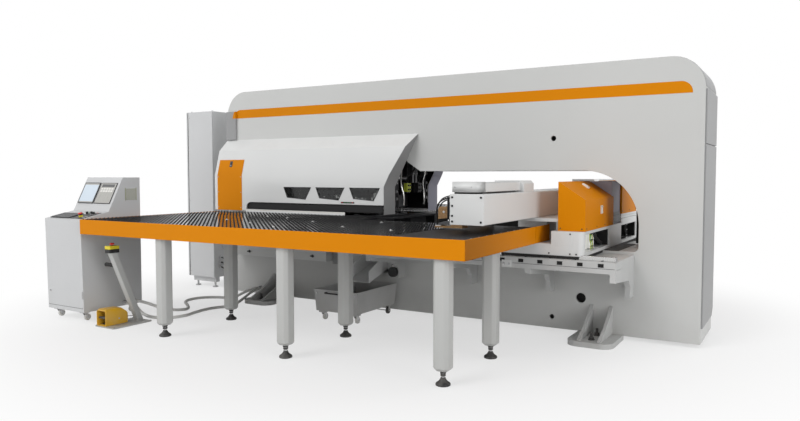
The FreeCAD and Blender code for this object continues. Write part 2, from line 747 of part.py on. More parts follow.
def tables():
    """Each table: a plate with a notch for the bridge, a folded fascia, a frame and six legs."""
    skirt = 6
    low = table_height - fascia_deep
    main = box("main_plate", (table_left + skirt, table_right - skirt), (table_front + skirt, notch_y),
               (plate_base, plate_top))
    inner = box("inner_plate", (table_left + skirt, 60), (notch_y, front - hood_deep - 5),
                (plate_base, plate_top))
    top = fused("table_top", [main, inner])
    both_sides("table_tops", top)
    long = box("fascia_front", (table_left, table_right), (table_front, table_front + skirt),
               (low, table_height))
    right = box("fascia_right", (table_right - skirt, table_right), (table_front + skirt, notch_y),
                (low, table_height))
    left = box("fascia_left", (table_left, table_left + skirt), (table_front + skirt, front - hood_deep - 5),
               (low, table_height))
    group("table_fascias", [p for s in (long, right, left) for p in (s, mirrored(s, s.Name + "_rear"))])
    rows = (table_front + 78, front - 1030)
    tubes = []
    half = leg_side / 2
    for i, y in enumerate(rows):
        tubes.append(box("long_tube_" + str(i), (table_left + 60, table_right - 60), (y - 25, y + 25),
                         (plate_base - 50, plate_base)))
    for i, x in enumerate(leg_places + [table_left + 85]):
        tubes.append(box("cross_tube_" + str(i), (x - 25, x + 25), (rows[0] + 25, rows[1] - 25),
                         (plate_base - 50, plate_base)))
    for i, x in enumerate((leg_places[2], table_left + 85)):
        tubes.append(box("rear_tube_" + str(i), (x - 25, x + 25), (rows[1] + 25, front - hood_deep - 20),
                         (plate_base - 50, plate_base)))
    group("table_frames", [p for t in tubes for p in (t, mirrored(t, t.Name + "_rear"))])
    cut = 24
    leg = body("leg")
    ring = [(-half + cut, -half), (half - cut, -half), (half, -half + cut), (half, half - cut),
            (half - cut, half), (-half + cut, half), (-half, half - cut), (-half, -half + cut)]
    sole = 92
    pad(leg, "leg_tube", "XY", ring, sole, plate_base - 50)
    rounded(leg, "leg_foot", 20, level(sole), "Chamfer")
    foot = body("levelling_foot")
    shoe = 38
    pad(foot, "levelling_shoe", "XY", ring_of(48, 8), 0, shoe)
    rounded(foot, "levelling_cone", 29, level(shoe), "Chamfer")
    pad(foot, "levelling_stem", "XY", ring_of(13, 6), shoe - 1, sole)
    legs = []
    feet = []
    for side, sign in (("front", 1), ("rear", -1)):
        for i, x in enumerate(leg_places):
            for j, y in enumerate(rows):
                mark = side + str(i) + str(j)
                legs.append(copied(leg, "leg_" + mark, (x, y * sign, 0)))
                feet.append(copied(foot, "foot_" + mark, (x, y * sign, 0)))
    group("table_legs", legs)
    group("levelling_feet", feet)


def brush_field(name, x, y):
    """A backing board with one row of bristles after another, standing on the table plate."""
    field = body(name)
    pad(field, name + "_board", "XY", [(x[0], y[0]), (x[1], y[0]), (x[1], y[1]), (x[0], y[1])],
        plate_top, plate_top + 2)
    edge = brush_edge
    count = int((number(y[1]) - number(y[0]) - 2 * edge) / number(brush_pitch)) + 1
    row = pad(field, name + "_row", "XY", [(x[0] + edge, y[0] + edge), (x[1] - edge, y[0] + edge),
              (x[1] - edge, y[0] + edge + brush_wide), (x[0] + edge, y[0] + edge + brush_wide)],
              plate_top + 2, brush_top)
    rows = field.newObject("PartDesign::LinearPattern", name + "_rows")
    rows.Originals = [row]
    rows.Direction = ([f for f in field.Origin.OriginFeatures if f.Role == "Y_Axis"][0], [""])
    bind(rows, "Length", brush_pitch * (count - 1))
    rows.Occurrences = count
    field.Tip = rows
    return field


ball_places = [(-830, 14), (-370, 9), (-850, 27), (60, 4), (-540, 25), (-30, 18), (510, 10), (510, 23),
               (980, 8)]


def table_trim():
    """Brush boards over the sheet area, ball units among them and the small centre table."""
    brush_right = 1180
    outer = brush_field("brush_main", (table_left + 14, brush_right), (table_front + 14, notch_y))
    inner = brush_field("brush_inner", (table_left + 14, 50), (notch_y + 1, front - hood_deep - 12))
    group("brush_boards", [p for f in (outer, inner) for p in (f, mirrored(f, f.Name + "_rear"))])
    ball = prism("ball_unit", "XY", ring_of(13.5, 6), plate_top + 2, brush_top + 1.5)
    balls = []
    first_gap = table_front + 14 + brush_edge + (brush_pitch + brush_wide) / 2
    for i, (x, row) in enumerate(ball_places):
        for side, sign in (("front", 1), ("rear", -1)):
            balls.append(copied(ball, "ball_" + side + str(i), (x, sign * (first_gap + brush_pitch * row), 0)))
    group("ball_transfers", balls)
    reach = front - hood_deep + 8
    centre = body("centre_table")
    pad(centre, "centre_plate", "XY", [(-110, reach), (236, reach), (236, -reach), (-110, -reach)],
        plate_base, plate_top)
    bore(centre, "turret_gap", "XY", (turret_x, 0), turret_round + 14, plate_base, plate_top)
    post = box("centre_post", (90, 200), (-150, 150), (throat_floor, plate_base))
    spill = box("centre_spill", (-120, 40), (reach - 1, 1 - reach), (800, 1000))
    plate = trimmed("centre_right", centre, spill)
    inner = body("inner_table")
    side = reach * -1
    pad(inner, "inner_plate_pad", "XY", [(-1545, reach), (-560, reach), (-560, side), (-1545, side),
        (-1545, face + 2), (bay_left + 2, face + 2), (bay_left + 2, front - 2), (-1545, front - 2)],
        plate_base, plate_top)
    bore(inner, "inner_turret_gap", "XY", (turret_x, 0), turret_round + 14, plate_base, plate_top)
    leg = box("inner_post", (bay_left + 50, bay_left + 120), (-200, 200), (throat_floor, plate_base))
    group("centre_table", [fused("centre_whole", [plate, post]), fused("inner_whole", [inner, leg])])


# ---- switch cabinet --------------------------------------------------------------------------
def cabinet():
    """An open-sided sheet cabinet on two plinth channels, with a hinged door and its handle."""
    left = -2770
    right = -2370
    near = -205
    far = near + 800
    low = 120
    top = low + cabinet_high
    shell = body("cabinet_shell")
    pad(shell, "cabinet_block", "XY", [(left, near), (right, near), (right, far), (left, far)], low, top)
    pocket(shell, "cabinet_room", "YZ", [(near + 30, low + 30), (far - 30, low + 30), (far - 30, top - 30),
           (near + 30, top - 30)], left, right - 20)
    pocket(shell, "cabinet_rebate", "YZ", [(near + 6, low + 6), (far - 6, low + 6), (far - 6, top - 6),
           (near + 6, top - 6)], left, left + 30)
    plate = box("mounting_plate", (right - 26, right - 19), (near + 80, far - 80), (low + 80, top - 80))
    parts = [shell, plate]
    for i, y in enumerate((near + 40, far - 100)):
        parts.append(prism("plinth_" + str(i), "YZ", [(y, 62), (y + 60, 62), (y + 60, low + 1), (y, low + 1)],
                           left + 20, right - 20))
        for j, x in enumerate((left + 60, right - 60)):
            foot = body("cabinet_foot_" + str(i) + str(j))
            pad(foot, foot.Name + "_base", "XY", ring_of(32, 8), 0, 14)
            pad(foot, foot.Name + "_stem", "XY", ring_of(12, 6), 13, 63)
            parts.append(place(foot, (x, y + 30, 0)))
    parts.append(rod("cabinet_socket", 22, (right - 1, near + 150, 470), 35, "X"))
    node("electrical_cabinet", fused("cabinet_whole", parts))
    door = body("cabinet_door")
    inside = left - seat_gap
    pad(door, "door_sheet", "XY", [(left - 20, near), (inside, near), (inside, far), (left - 20, far)], low, top)
    pocket(door, "door_tray", "YZ", [(near + 25, low + 25), (far - 25, low + 25), (far - 25, top - 25),
           (near + 25, top - 25)], left - 17, inside)
    bore(door, "handle_hole", "YZ", (near + 60, 1060), 8 + running, left - 20, inside)
    node("cabinet_door", door)
    shaft = rod("handle_shaft", 8, (left - 34, near + 60, 1060), 26, "X")
    lever = box("handle_lever", (left - 40, left - 30), (near + 48, near + 72), (960, 1075))
    node("door_handle", fused("handle_whole", [shaft, lever]))


# ---- casters ---------------------------------------------------------------------------------
fork_half = 14
axle_round = 5


def cheek(name, side, x, y, trail, top):
    """One fork cheek: wide at the crown and narrow at the axle."""
    back = y + trail
    low = caster_round
    return prism(name, "YZ", [(y - 18, top), (y + 22, top), (back + 11, low), (back + 6, low - 10),
                 (back - 6, low - 10), (back - 11, low)], x + side * fork_half, x + side * fork_half + 3)


def fork(name, x, y, trail, top):
    """Two cheeks under a crown, with the axle pin between them."""
    crown = top - 4
    parts = [box(name + "_crown", (x - fork_half, x + fork_half + 3), (y - 18, y + 22), (crown, top)),
             cheek(name + "_cheek_a", -1, x, y, trail, top), cheek(name + "_cheek_b", 1, x, y, trail, top),
             rod(name + "_axle", axle_round, (x - fork_half, y + trail, caster_round), 2 * fork_half + 3, "X")]
    return parts


def fixed_fork(name, x, y, top):
    """The cheeks and top plate of a caster that doesn't swivel."""
    plate = box(name + "_plate", (x - 30, x + 33), (y - 30, y + 30), (top - 12, top))
    sides = [cheek(name + mark, side, x, y, 0, top - 10) for mark, side in (("_a", -1), ("_b", 1))]
    return fused(name + "_fixed", sides + [plate])


def tyre():
    """A wheel's outline, with flats that touch the round wheel's circle."""
    flats = 16
    return ring_of(number(caster_round) / math.cos(math.pi / flats), flats, math.pi / flats)


def wheel(name, x, y):
    """A plain wheel, bored for the axle."""
    rim = body(name)
    pad(rim, name + "_tread", "YZ", tyre(), -12, 12)
    bore(rim, name + "_hole", "YZ", (0, 0), axle_round + running, -12, 12)
    return place(rim, (x + 1.5, y, caster_round))


def swivel(prefix, x, y, top):
    """A caster that swivels on its kingpin; returns the bearing plate that stays with the cabinet."""
    trail = 24
    ring = 72
    node(prefix + "_fork", fused(prefix + "_fork_whole", fork(prefix, x, y, trail, ring)))
    node(prefix + "_wheel", wheel(prefix + "_tyre", x, y + trail))
    return box(prefix + "_bearing", (x - 30, x + 33), (y - 30, y + 30), (ring + seat_gap, top))


# ---- scrap cart ------------------------------------------------------------------------------
def tapered(name, x, y, z, slope):
    """A block whose four sides lean inwards to its floor."""
    side = prism(name + "_side", "YZ", [(y[0] + slope, z[0]), (y[1] - slope, z[0]), (y[1], z[1]), (y[0], z[1])],
                 x[0], x[1])
    end = prism(name + "_end", "XZ", [(x[0] + slope, z[0]), (x[1] - slope, z[0]), (x[1], z[1]), (x[0], z[1])],
                y[0], y[1])
    return overlap(name, side, end)


def cart():
    """An open sheet bin with tapered walls and a rolled rim, on two swivel and two fixed casters."""
    near = -995
    far = near + cart_long
    left = -310
    right = left + cart_wide
    low = 90
    top = cart_top
    slope = 14
    wall = 3
    outside = tapered("bin_outside", (left, right), (near, far), (low, top), slope)
    room = tapered("bin_room", (left + wall, right - wall), (near + wall, far - wall), (low + wall, top + 1),
                   slope)
    lips = [box("bin_lip_near", (left, right), (near - 3, near + 2.5), (top - 18, top)),
            box("bin_lip_far", (left, right), (far - 2.5, far + 3), (top - 18, top))]
    parts = [fused("bin_whole", [trimmed("bin_shell", outside, room)] + lips)]
    for side, x in (("left", left + 60), ("right", right - 60)):
        parts.append(swivel("cart_" + side, x, near + 60, low))
        back = far - 60
        parts.append(trimmed("cart_fixed_" + side, fixed_fork("cart_rear_" + side, x, back, low),
                     rod("cart_axle_way_" + side, axle_round, (x - 20, back, caster_round), 44, "X")))
    group("cart_bin", parts)
    rear = far - 60
    bar = rod("cart_axle", axle_round - running, (left + 38, rear, caster_round), cart_wide - 76, "X")
    wheels = [place(prism("cart_rear_tyre_" + str(i), "YZ", tyre(), -12, 12), (x + 1.5, rear, caster_round))
              for i, x in enumerate((left + 60, right - 60))]
    node("cart_rear_wheels", fused("cart_rear_set", wheels + [bar]))


# ---- operator console ------------------------------------------------------------------------
console_left = -2510
console_near = -2115
desk = [(-2130, 908), (-1845, 966)]
screen = [(-1845, 966), (-1689, 1277)]


def along(line, share, lift):
    """A point on a sloping line of the console's side, lifted off its surface."""
    (y0, z0), (y1, z1) = line
    long = math.hypot(y1 - y0, z1 - z0)
    return (y0 + (y1 - y0) * share - (z1 - z0) / long * lift, z0 + (z1 - z0) * share + (y1 - y0) / long * lift)


def slab(name, line, first, last, thick, x0, x1):
    """A thin plate lying on one of the sloping faces."""
    return prism(name, "YZ", [along(line, first, 0), along(line, last, 0), along(line, last, thick),
                 along(line, first, thick)], x0, x1)


def console():
    """A folded cabinet with a desk and a leaning screen panel, on four casters."""
    right = console_left + console_wide
    far = console_near + console_deep
    low = 85
    case = prism("console_case", "YZ", [(console_near, low), (far, low), (far, 1277), screen[1], screen[0],
                 desk[0]], console_left, right)
    parts = [case, box("console_cover", (console_left + 25, right - 25), (far, far + 2), (160, 1230)),
             box("console_vent", (right, right + 2), (-1668, -1548), (1065, 1180)),
             rod("service_lock", 9, (console_left + 45, console_near - 7, 250), 3.5, "Y")]
    rear = far - 65
    for side, x in (("left", console_left + 70), ("right", right - 70)):
        parts.append(swivel("console_" + side, x, console_near + 55, low))
        parts.append(fused("console_fixed_" + side, [fixed_fork("console_rear_" + side, x, rear, low),
                     rod("console_rear_axle_" + side, axle_round, (x - fork_half, rear, caster_round),
                         2 * fork_half + 3, "X")]))
        node("console_rear_wheel_" + side, wheel("console_rear_tyre_" + side, x, rear))
    group("console_cabinet", parts)
    middle = console_left + 255
    panels = [slab("screen_left", screen, 0.22, 0.83, 8, console_left + 22, middle - 8),
              slab("screen_right", screen, 0.22, 0.83, 5, middle + 6, right - 32),
              slab("keyboard", desk, 0.1, 0.62, 8, console_left + 40, middle + 60),
              slab("button_plate", desk, 0.1, 0.8, 3, middle + 80, right - 24)]
    for i, (x, share) in enumerate(((middle + 110, 0.62), (middle + 160, 0.66), (middle + 205, 0.62))):
        spot = along(desk, share, 3)
        knob = prism("panel_knob_" + str(i), "XY", ring_of(11, 8), 0, 22)
        panels.append(leaning(knob, (x, spot[0], spot[1])))
    panels.append(place(prism("side_knob", "YZ", ring_of(14, 8), 0, 36), (right, -1868, 872)))
    spot = along(desk, 0.3, 3)
    at = (middle + 150, spot[0], spot[1])
    collar = body("estop_collar")
    pad(collar, "collar_ring", "XY", ring_of(18, 12), 0, 18)
    bore(collar, "collar_bore", "XY", (0, 0), 7 + running, 0, 18)
    panels.append(leaning(collar, at))
    group("console_panel", panels)
    node("console_estop", leaning(mushroom("console_mushroom", 10, 25, 40), at))


def leaning(piece, at):
    """Stands a piece square to the desk."""
    (y0, z0), (y1, z1) = desk
    tilt = math.degrees(math.atan2(z1 - z0, y1 - y0))
    return place(piece, at, Rotation(Vector(1, 0, 0), tilt))


def mushroom(name, low, brim, top):
    """A stop button: a stem that slides in its bore and a wide head."""
    button = body(name)
    pad(button, name + "_stem", "XY", ring_of(7, 16), low, brim + 1)
    pad(button, name + "_head", "XY", ring_of(20, 12), brim, top)
    return button


# ---- cords -----------------------------------------------------------------------------------
def tube_along(points, radius, sides):
    """A many-sided tube along straight runs joined by tangent arcs, with its tightest bend."""
    spots = [Vector(*[number(v) for v in p]) for p in points]
    edges = []
    start = spots[0]
    tightest = 1e9
    for before, corner, after in zip(spots, spots[1:], spots[2:]):
        back = before - corner
        ahead = after - corner
        turn = math.pi - back.getAngle(ahead)
        reach = 0.45 * min(back.Length, ahead.Length)
        bend = reach / math.tan(turn / 2)
        tightest = min(tightest, bend)
        first = corner + back.normalize() * reach
        last = corner + ahead.normalize() * reach
        half = (first + last) * 0.5 - corner
        middle = corner + half.normalize() * (math.hypot(reach, bend) - bend)
        edges.append(Part.LineSegment(start, first).toShape())
        edges.append(Part.Arc(first, middle, last).toShape())
        start = last
    edges.append(Part.LineSegment(start, spots[-1]).toShape())
    path = Part.Wire(edges)
    way = (spots[1] - spots[0]).normalize()
    side = way.cross(Vector(0, 0, 1)).normalize()
    rise = side.cross(way)
    corners = [spots[0] + side * a + rise * b for a, b in ring_of(radius, sides)]
    ring = Part.makePolygon(corners + corners[:1])
    tube = path.makePipeShell([ring], True, False)
    section = sides / 2 * math.sin(2 * math.pi / sides) * radius ** 2
    return tube, tightest, tube.Volume / (section * path.Length)


# ---- pedal stand -----------------------------------------------------------------------------
stand_x = -1640
cable_route = [(-1705, -1880, 48), (-1705, -1822, 44), (-1668, -1822, 42)]


def pedal_stand():
    """A leaning column on a floor plate with an emergency stop box, a grip and the foot switch."""
    plate = body("stand_plate")
    pad(plate, "stand_floor", "XY", [(stand_x - 140, -2165), (stand_x + 120, -2165), (stand_x + 120, -1765),
        (stand_x - 140, -1765)], 0, 8)
    rounded(plate, "stand_corners", 25, upright((stand_x - 140, stand_x + 120)))
    column = prism("stand_column", "YZ", [(-1842, 7), (-1788, 7), (-2048, 636), (-2102, 636)],
                   stand_x - 28, stand_x + 28)
    low = box("estop_base", (stand_x - 35, stand_x + 35), (-2125, -2025), (636, 668))
    lid = box("estop_lid", (stand_x - 35, stand_x + 35), (-2125, -2025), (668, 696))
    well = rod("estop_well", 7 + running, (stand_x, -2075, 650), 60)
    grip = rod("stand_grip", 16, (stand_x - 28 - 123, -2028, 520), 123, "X")
    group("pedal_stand", [fused("stand_frame", [plate, column]), grip])
    group("estop_box", [trimmed("estop_box_low", low, well), trimmed("estop_box_top", lid, well)])
    node("stand_estop", place(mushroom("stand_mushroom", 672, 704, 721), (stand_x, -2075, 0)))
    left = stand_x - 125
    right = stand_x - 5
    near = -2150
    far = -1925
    base = 8
    hood_side = [(near, base), (far, base), (far, base + 96), (far - 60, base + 140), (near + 20, base + 146),
                 (near - 2, base + 128)]
    shell = body("pedal_hood")
    pad(shell, "pedal_hood_block", "YZ", hood_side, left, right)
    pocket(shell, "pedal_mouth", "XZ", [(left + 7, base + 7), (right - 7, base + 7), (right - 7, base + 122),
           (left + 7, base + 122)], near - 3, far - 65)
    rounded(shell, "pedal_hood_edges", 10, lambda middle, edge: middle.y > near + 30 and middle.z > base + 100
            and edge.BoundBox.YLength > 30 and edge.BoundBox.XLength < 1)
    pivot_y = far - 90
    pivot = rod("pedal_pin", 5, (left + 6, pivot_y, base + 50), right - left - 12, "X")
    gland = place(prism("pedal_gland", "XZ", ring_of(14, 8), 0, 45), (stand_x - 65, far, base + 40))
    cable = doc.addObject("Part::Feature", "pedal_cable")
    cable.Shape = tube_along(cable_route, 2.5, 6)[0]
    group("pedal_hood", [fused("pedal_hood_whole", [shell, pivot]), gland, cable])
    tread = body("foot_pedal")
    hole = 5 + running
    pad(tread, "pedal_tread", "YZ", [(near + 12, base + 62), (pivot_y - 4, base + 42), (pivot_y + 10, base + 40),
        (pivot_y + 12, base + 56), (pivot_y, base + 62), (near + 12, base + 76)], left + 14, right - 14)
    bore(tread, "pedal_bore", "YZ", (pivot_y, base + 50), hole, left + 14, right - 14)
    node("foot_pedal", tread)


# ---- conduits on the floor -------------------------------------------------------------------
def run_of(points, radius, name):
    """A six-sided conduit through the points."""
    tube, tightest, share = tube_along(points, radius, 6)
    print(name, "tightest bend", round(tightest), "mm, volume over section times length", round(share, 4))
    conduit = doc.addObject("Part::Feature", name)
    conduit.Shape = tube
    return node(name, conduit)


def conduits():
    """Two flexible conduits that lie on the floor, and the gland at each of their ends."""
    radius = number(conduit_round)
    high = radius + 0.5
    gland_high = 96
    reach = front - 30
    route_a = [(-1960, -1600, 118), (-1830, -1600, 118), (-1660, -1500, 40), (-1590, -1290, high),
               (-1780, -1130, high), (-1985, -1000, high), (-2005, -780, high), (-1835, -650, high),
               (-1655, -640, high), (-1565, -485, gland_high), (-1565, reach, gland_high)]
    route_b = [(-1960, -1700, 112), (-1840, -1700, 112), (-1680, -1740, 30), (-1490, -1700, high),
               (-1390, -1520, high), (-1450, -1320, high), (-1470, -1120, high), (-1370, -965, high),
               (-1435, -800, high), (-1505, -640, 30), (-1505, -490, gland_high), (-1505, reach, gland_high)]
    run_of(route_a, radius, "conduit_a")
    run_of(route_b, radius, "conduit_b")
    ends = []
    for i, (y, z) in enumerate(((-1600, 118), (-1700, 112))):
        ends.append(place(prism("console_gland_" + str(i), "XY", ring_of(22, 6), 0, 30),
                          (-1990, y, z), turns["X"]))
    for i, x in enumerate((-1565, -1505)):
        ends.append(place(prism("frame_gland_" + str(i), "XY", ring_of(22, 6), 0, 30),
                          (x, reach, gland_high), turns["Y"]))
    group("conduit_glands", ends)


# ---- build and save --------------------------------------------------------------------------
o_frame()
frame_covers()
frame_feet()
hoods()
lower_skirts()
turrets()
ram()
slug_chute()
rail_ledges()
bridge_saddle()
carriage_beam()
drive_covers()
clamps()
tables()
table_trim()
cabinet()
cart()
console()
pedal_stand()
conduits()
doc.recompute()

for thing in doc.Objects:
    if "Invalid" in thing.State or "Error" in thing.State:
        raise RuntimeError("failed: " + thing.Name + " " + str(thing.State))
os.makedirs("parts", exist_ok=True)
for name, thing in nodes.items():
    shape = Part.getShape(thing)
    if shape.isNull() or not shape.isValid() or not shape.Solids:
        raise RuntimeError("no valid solid in " + name)
    shape.exportStep("parts/" + name + ".step")
print(len(nodes), "nodes,", sum(len(Part.getShape(n).Solids) for n in nodes.values()), "solids")
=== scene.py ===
from itertools import product
import math
import random

import bmesh
import bpy
from mathutils import Matrix, Vector


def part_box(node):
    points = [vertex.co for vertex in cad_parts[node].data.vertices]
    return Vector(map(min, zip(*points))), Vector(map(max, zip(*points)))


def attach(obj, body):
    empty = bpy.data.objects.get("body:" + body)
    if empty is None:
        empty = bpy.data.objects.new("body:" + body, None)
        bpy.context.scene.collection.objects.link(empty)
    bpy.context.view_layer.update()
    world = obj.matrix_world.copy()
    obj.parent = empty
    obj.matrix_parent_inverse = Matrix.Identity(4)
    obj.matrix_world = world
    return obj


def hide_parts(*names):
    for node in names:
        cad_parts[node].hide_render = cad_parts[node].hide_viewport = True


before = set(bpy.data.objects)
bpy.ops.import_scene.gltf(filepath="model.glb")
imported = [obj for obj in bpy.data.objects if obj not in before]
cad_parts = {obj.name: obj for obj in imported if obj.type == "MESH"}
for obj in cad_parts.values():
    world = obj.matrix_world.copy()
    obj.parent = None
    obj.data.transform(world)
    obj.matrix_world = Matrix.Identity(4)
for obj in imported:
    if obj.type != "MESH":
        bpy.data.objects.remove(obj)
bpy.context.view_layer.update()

scene = bpy.context.scene
mm = 0.001  # the pieces are laid out in millimetres, as the machine's drawings are
facets = {"round": 24, "small": 12, "sharpAngle": 0.55}
rng = random.Random(30)
xWay, yWay, zWay = (1, 0, 0), (0, 1, 0), (0, 0, 1)


# shader nodes
# Adds a node with its settings; each input is linked to a socket or given a value.
def addNode(tree, kind, inputs=(), **settings):
    node = tree.nodes.new("ShaderNode" + kind)
    for label, value in settings.items():
        setattr(node, label, value)
    for label, value in dict(inputs).items():
        if isinstance(value, bpy.types.NodeSocket):
            tree.links.new(value, node.inputs[label])
        else:
            node.inputs[label].default_value = value
    return node


def math2(tree, operation, first, second, clamp=False):
    return addNode(tree, "Math", {0: first, 1: second}, operation=operation, use_clamp=clamp).outputs[0]


def noise(tree, place, scale, detail, rough):
    inputs = {"Vector": place, "Scale": scale, "Detail": detail, "Roughness": rough}
    return addNode(tree, "TexNoise", inputs).outputs["Fac"]


def remap(tree, value, low, high, toLow=0.0, toHigh=1.0, **settings):
    inputs = {"Value": value, "From Min": low, "From Max": high, "To Min": toLow, "To Max": toHigh}
    return addNode(tree, "MapRange", inputs, **settings).outputs[0]


# camera, light and floor
studio = {
    "cameraAt": (3.4505, -5.7963, 1.30), "tilt": 87.016, "turn": 30.83, "lens": 30.653, "sensor": 36,
    "sky": 0.62, "softness": 30,
    "suns": {"keyLight": (1.02, (-0.40, -0.85, 0.80)), "lowLight": (0.30, (-0.80, -0.85, 0.16)),
             "fillLight": (0.78, (1.0, -0.38, 0.22)), "rimLight": (0.35, (0.5, 0.9, 0.6))},
    "floorRadius": 15, "floorRings": 6, "floorSpokes": 64, "floorDrop": 0.0005,
    "floorColour": (0.82, 0.82, 0.82), "lift": 0.6, "fadeFrom": 2.6, "fadeTo": 4.4,
}


def makeCamera():
    camera = bpy.data.objects.new("camera", bpy.data.cameras.new("camera"))
    camera.data.lens = studio["lens"]
    camera.data.sensor_width = studio["sensor"]
    camera.location = studio["cameraAt"]
    camera.rotation_euler = (math.radians(studio["tilt"]), 0, math.radians(studio["turn"]))
    scene.collection.objects.link(camera)
    scene.camera = camera


def makeSun(name, power, toward):
    sun = bpy.data.objects.new(name, bpy.data.lights.new(name, "SUN"))
    sun.data.energy = power
    sun.data.angle = math.radians(studio["softness"])
    sun.rotation_euler = Vector(toward).to_track_quat("Z", "Y").to_euler()
    scene.collection.objects.link(sun)


# 1 for camera, glossy and transmission rays, which see the white background.
def seenDirectly(tree):
    rays = addNode(tree, "LightPath").outputs
    seen = math2(tree, "MAXIMUM", rays["Is Camera Ray"], rays["Is Glossy Ray"])
    return math2(tree, "MAXIMUM", seen, rays["Is Transmission Ray"])


def makeWorld():
    scene.world = bpy.data.worlds.new("studioWorld")
    scene.world.use_nodes = True
    tree = scene.world.node_tree
    backdrop = tree.nodes["Background"].inputs
    backdrop["Color"].default_value = (1, 1, 1, 1)
    tree.links.new(remap(tree, seenDirectly(tree), 0, 1, studio["sky"]), backdrop["Strength"])


# A round floor that takes the shadows and fades to white away from the machine.
def makeFloor():
    rings, count = studio["floorRings"], studio["floorSpokes"]
    spots = [(0, 0, 0)]
    for k, i in product(range(1, rings + 1), range(count)):
        radius, angle = studio["floorRadius"] * k / rings, 2 * math.pi * i / count
        spots.append((radius * math.cos(angle), radius * math.sin(angle), 0))
    faces = [(0, 1 + i, 1 + (i + 1) % count) for i in range(count)]
    for i, k in product(range(count), range(rings - 1)):
        low, high, j = 1 + count * k, 1 + count * (k + 1), (i + 1) % count
        faces.append((low + i, high + i, high + j, low + j))
    mesh = bpy.data.meshes.new("studioFloor")
    mesh.from_pydata(spots, [], faces)
    floor = bpy.data.objects.new("studioFloor", mesh)
    floor.location.z = -studio["floorDrop"]
    scene.collection.objects.link(floor)
    finish = bpy.data.materials.new("studioFloor")
    finish.use_nodes = True
    tree = finish.node_tree
    tree.nodes.clear()
    plain = addNode(tree, "BsdfDiffuse", {"Color": (*studio["floorColour"], 1)}).outputs[0]
    white = addNode(tree, "Emission").outputs[0]
    place = addNode(tree, "NewGeometry").outputs["Position"]
    away = addNode(tree, "VectorMath", {0: place}, operation="LENGTH").outputs["Value"]
    fade = remap(tree, away, studio["fadeFrom"], studio["fadeTo"], studio["lift"],
                 interpolation_type="SMOOTHSTEP")
    share = math2(tree, "MULTIPLY", fade, seenDirectly(tree))
    mix = addNode(tree, "MixShader", {0: share, 1: plain, 2: white}).outputs[0]
    addNode(tree, "OutputMaterial", {"Surface": mix})
    mesh.materials.append(finish)


scene.view_settings.view_transform = "Standard"
makeCamera()
for lamp, (power, toward) in studio["suns"].items():
    makeSun(lamp, power, toward)
makeWorld()
makeFloor()
print("studio is set")


# shared surface effects
# A shader group; a socket's kind follows from its first value.
def startGroup(name, inputs, outputs):
    group = bpy.data.node_groups.new(name, "ShaderNodeTree")
    for way, sockets in (("INPUT", {"Place": (0, 0, 0), **inputs}), ("OUTPUT", outputs)):
        for label, value in sockets.items():
            kind = {3: "Vector", 4: "Color"}[len(value)] if isinstance(value, tuple) else "Float"
            socket = group.interface.new_socket(label, in_out=way, socket_type="NodeSocket" + kind)
            socket.default_value = value
    return group, group.nodes.new("NodeGroupInput").outputs, group.nodes.new("NodeGroupOutput").inputs


# Where a convex edge has rubbed: the rounded normal turns away from the face's own.
def makeEdgeWear():
    group, given, out = startGroup("edgeWear", {"Radius": 0.003, "Amount": 0.5, "Breakup": 14.0},
                                   {"Mask": 0.0})
    rounded = addNode(group, "Bevel", {"Radius": given["Radius"]}, samples=4).outputs[0]
    face = addNode(group, "NewGeometry").outputs["Normal"]
    dot = addNode(group, "VectorMath", {0: rounded, 1: face}, operation="DOT_PRODUCT").outputs["Value"]
    patches = remap(group, noise(group, given["Place"], given["Breakup"], 4, 0.65), 0.42, 0.62)
    worn = math2(group, "MULTIPLY", remap(group, dot, 0.985, 0.80), patches)
    group.links.new(math2(group, "MULTIPLY", worn, given["Amount"], True), out["Mask"])
    return group


# Shop dust: thicker on faces that look up and near the floor, broken by noise.
def makeDust():
    group, given, out = startGroup("shopDust", {"Amount": 0.3, "Splash": 0.3}, {"Mask": 0.0})
    face = addNode(group, "NewGeometry").outputs
    way = addNode(group, "SeparateXYZ", {0: face["Normal"]}).outputs["Z"]
    height = addNode(group, "SeparateXYZ", {0: face["Position"]}).outputs["Z"]
    patches = remap(group, noise(group, given["Place"], 5.5, 5, 0.6), 0.35, 0.75)
    lying = math2(group, "MULTIPLY", remap(group, way, 0.5, 1.0), given["Amount"])
    low = math2(group, "POWER", remap(group, height, 0.42, 0.0), 2.0)
    both = math2(group, "ADD", lying, math2(group, "MULTIPLY", low, given["Splash"]))
    group.links.new(math2(group, "MULTIPLY", both, patches, True), out["Mask"])
    return group


# A colour that drifts slightly in lightness over the surface, as sprayed paint does.
def makeDrift():
    grey = (0.5, 0.5, 0.5, 1)
    group, given, out = startGroup("tintDrift", {"Colour": grey, "Spread": 0.06, "Scale": 2.0},
                                   {"Colour": grey})
    broad = noise(group, given["Place"], given["Scale"], 3, 0.5)
    swing = math2(group, "MULTIPLY", math2(group, "SUBTRACT", broad, 0.5), given["Spread"])
    value = math2(group, "ADD", math2(group, "MULTIPLY", swing, 2.0), 1.0)
    shade = addNode(group, "HueSaturation", {"Value": value, "Color": given["Colour"]})
    group.links.new(shade.outputs[0], out["Colour"])
    return group


# Fine relief, stretched along one axis for brushed metal: a height and a shade from 0 to 1.
def makeGrain():
    group, given, out = startGroup("surfaceGrain", {"Stretch": (1, 1, 1), "Scale": 250.0, "Depth": 1.0},
                                   {"Height": 0.0, "Shade": 0.0})
    stretched = addNode(group, "VectorMath", {0: given["Place"], 1: given["Stretch"]}, operation="MULTIPLY")
    fine = noise(group, stretched.outputs[0], given["Scale"], 3, 0.55)
    group.links.new(math2(group, "MULTIPLY", fine, given["Depth"]), out["Height"])
    group.links.new(fine, out["Shade"])
    return group


effects = {"wear": makeEdgeWear(), "dust": makeDust(), "drift": makeDrift(), "grain": makeGrain()}


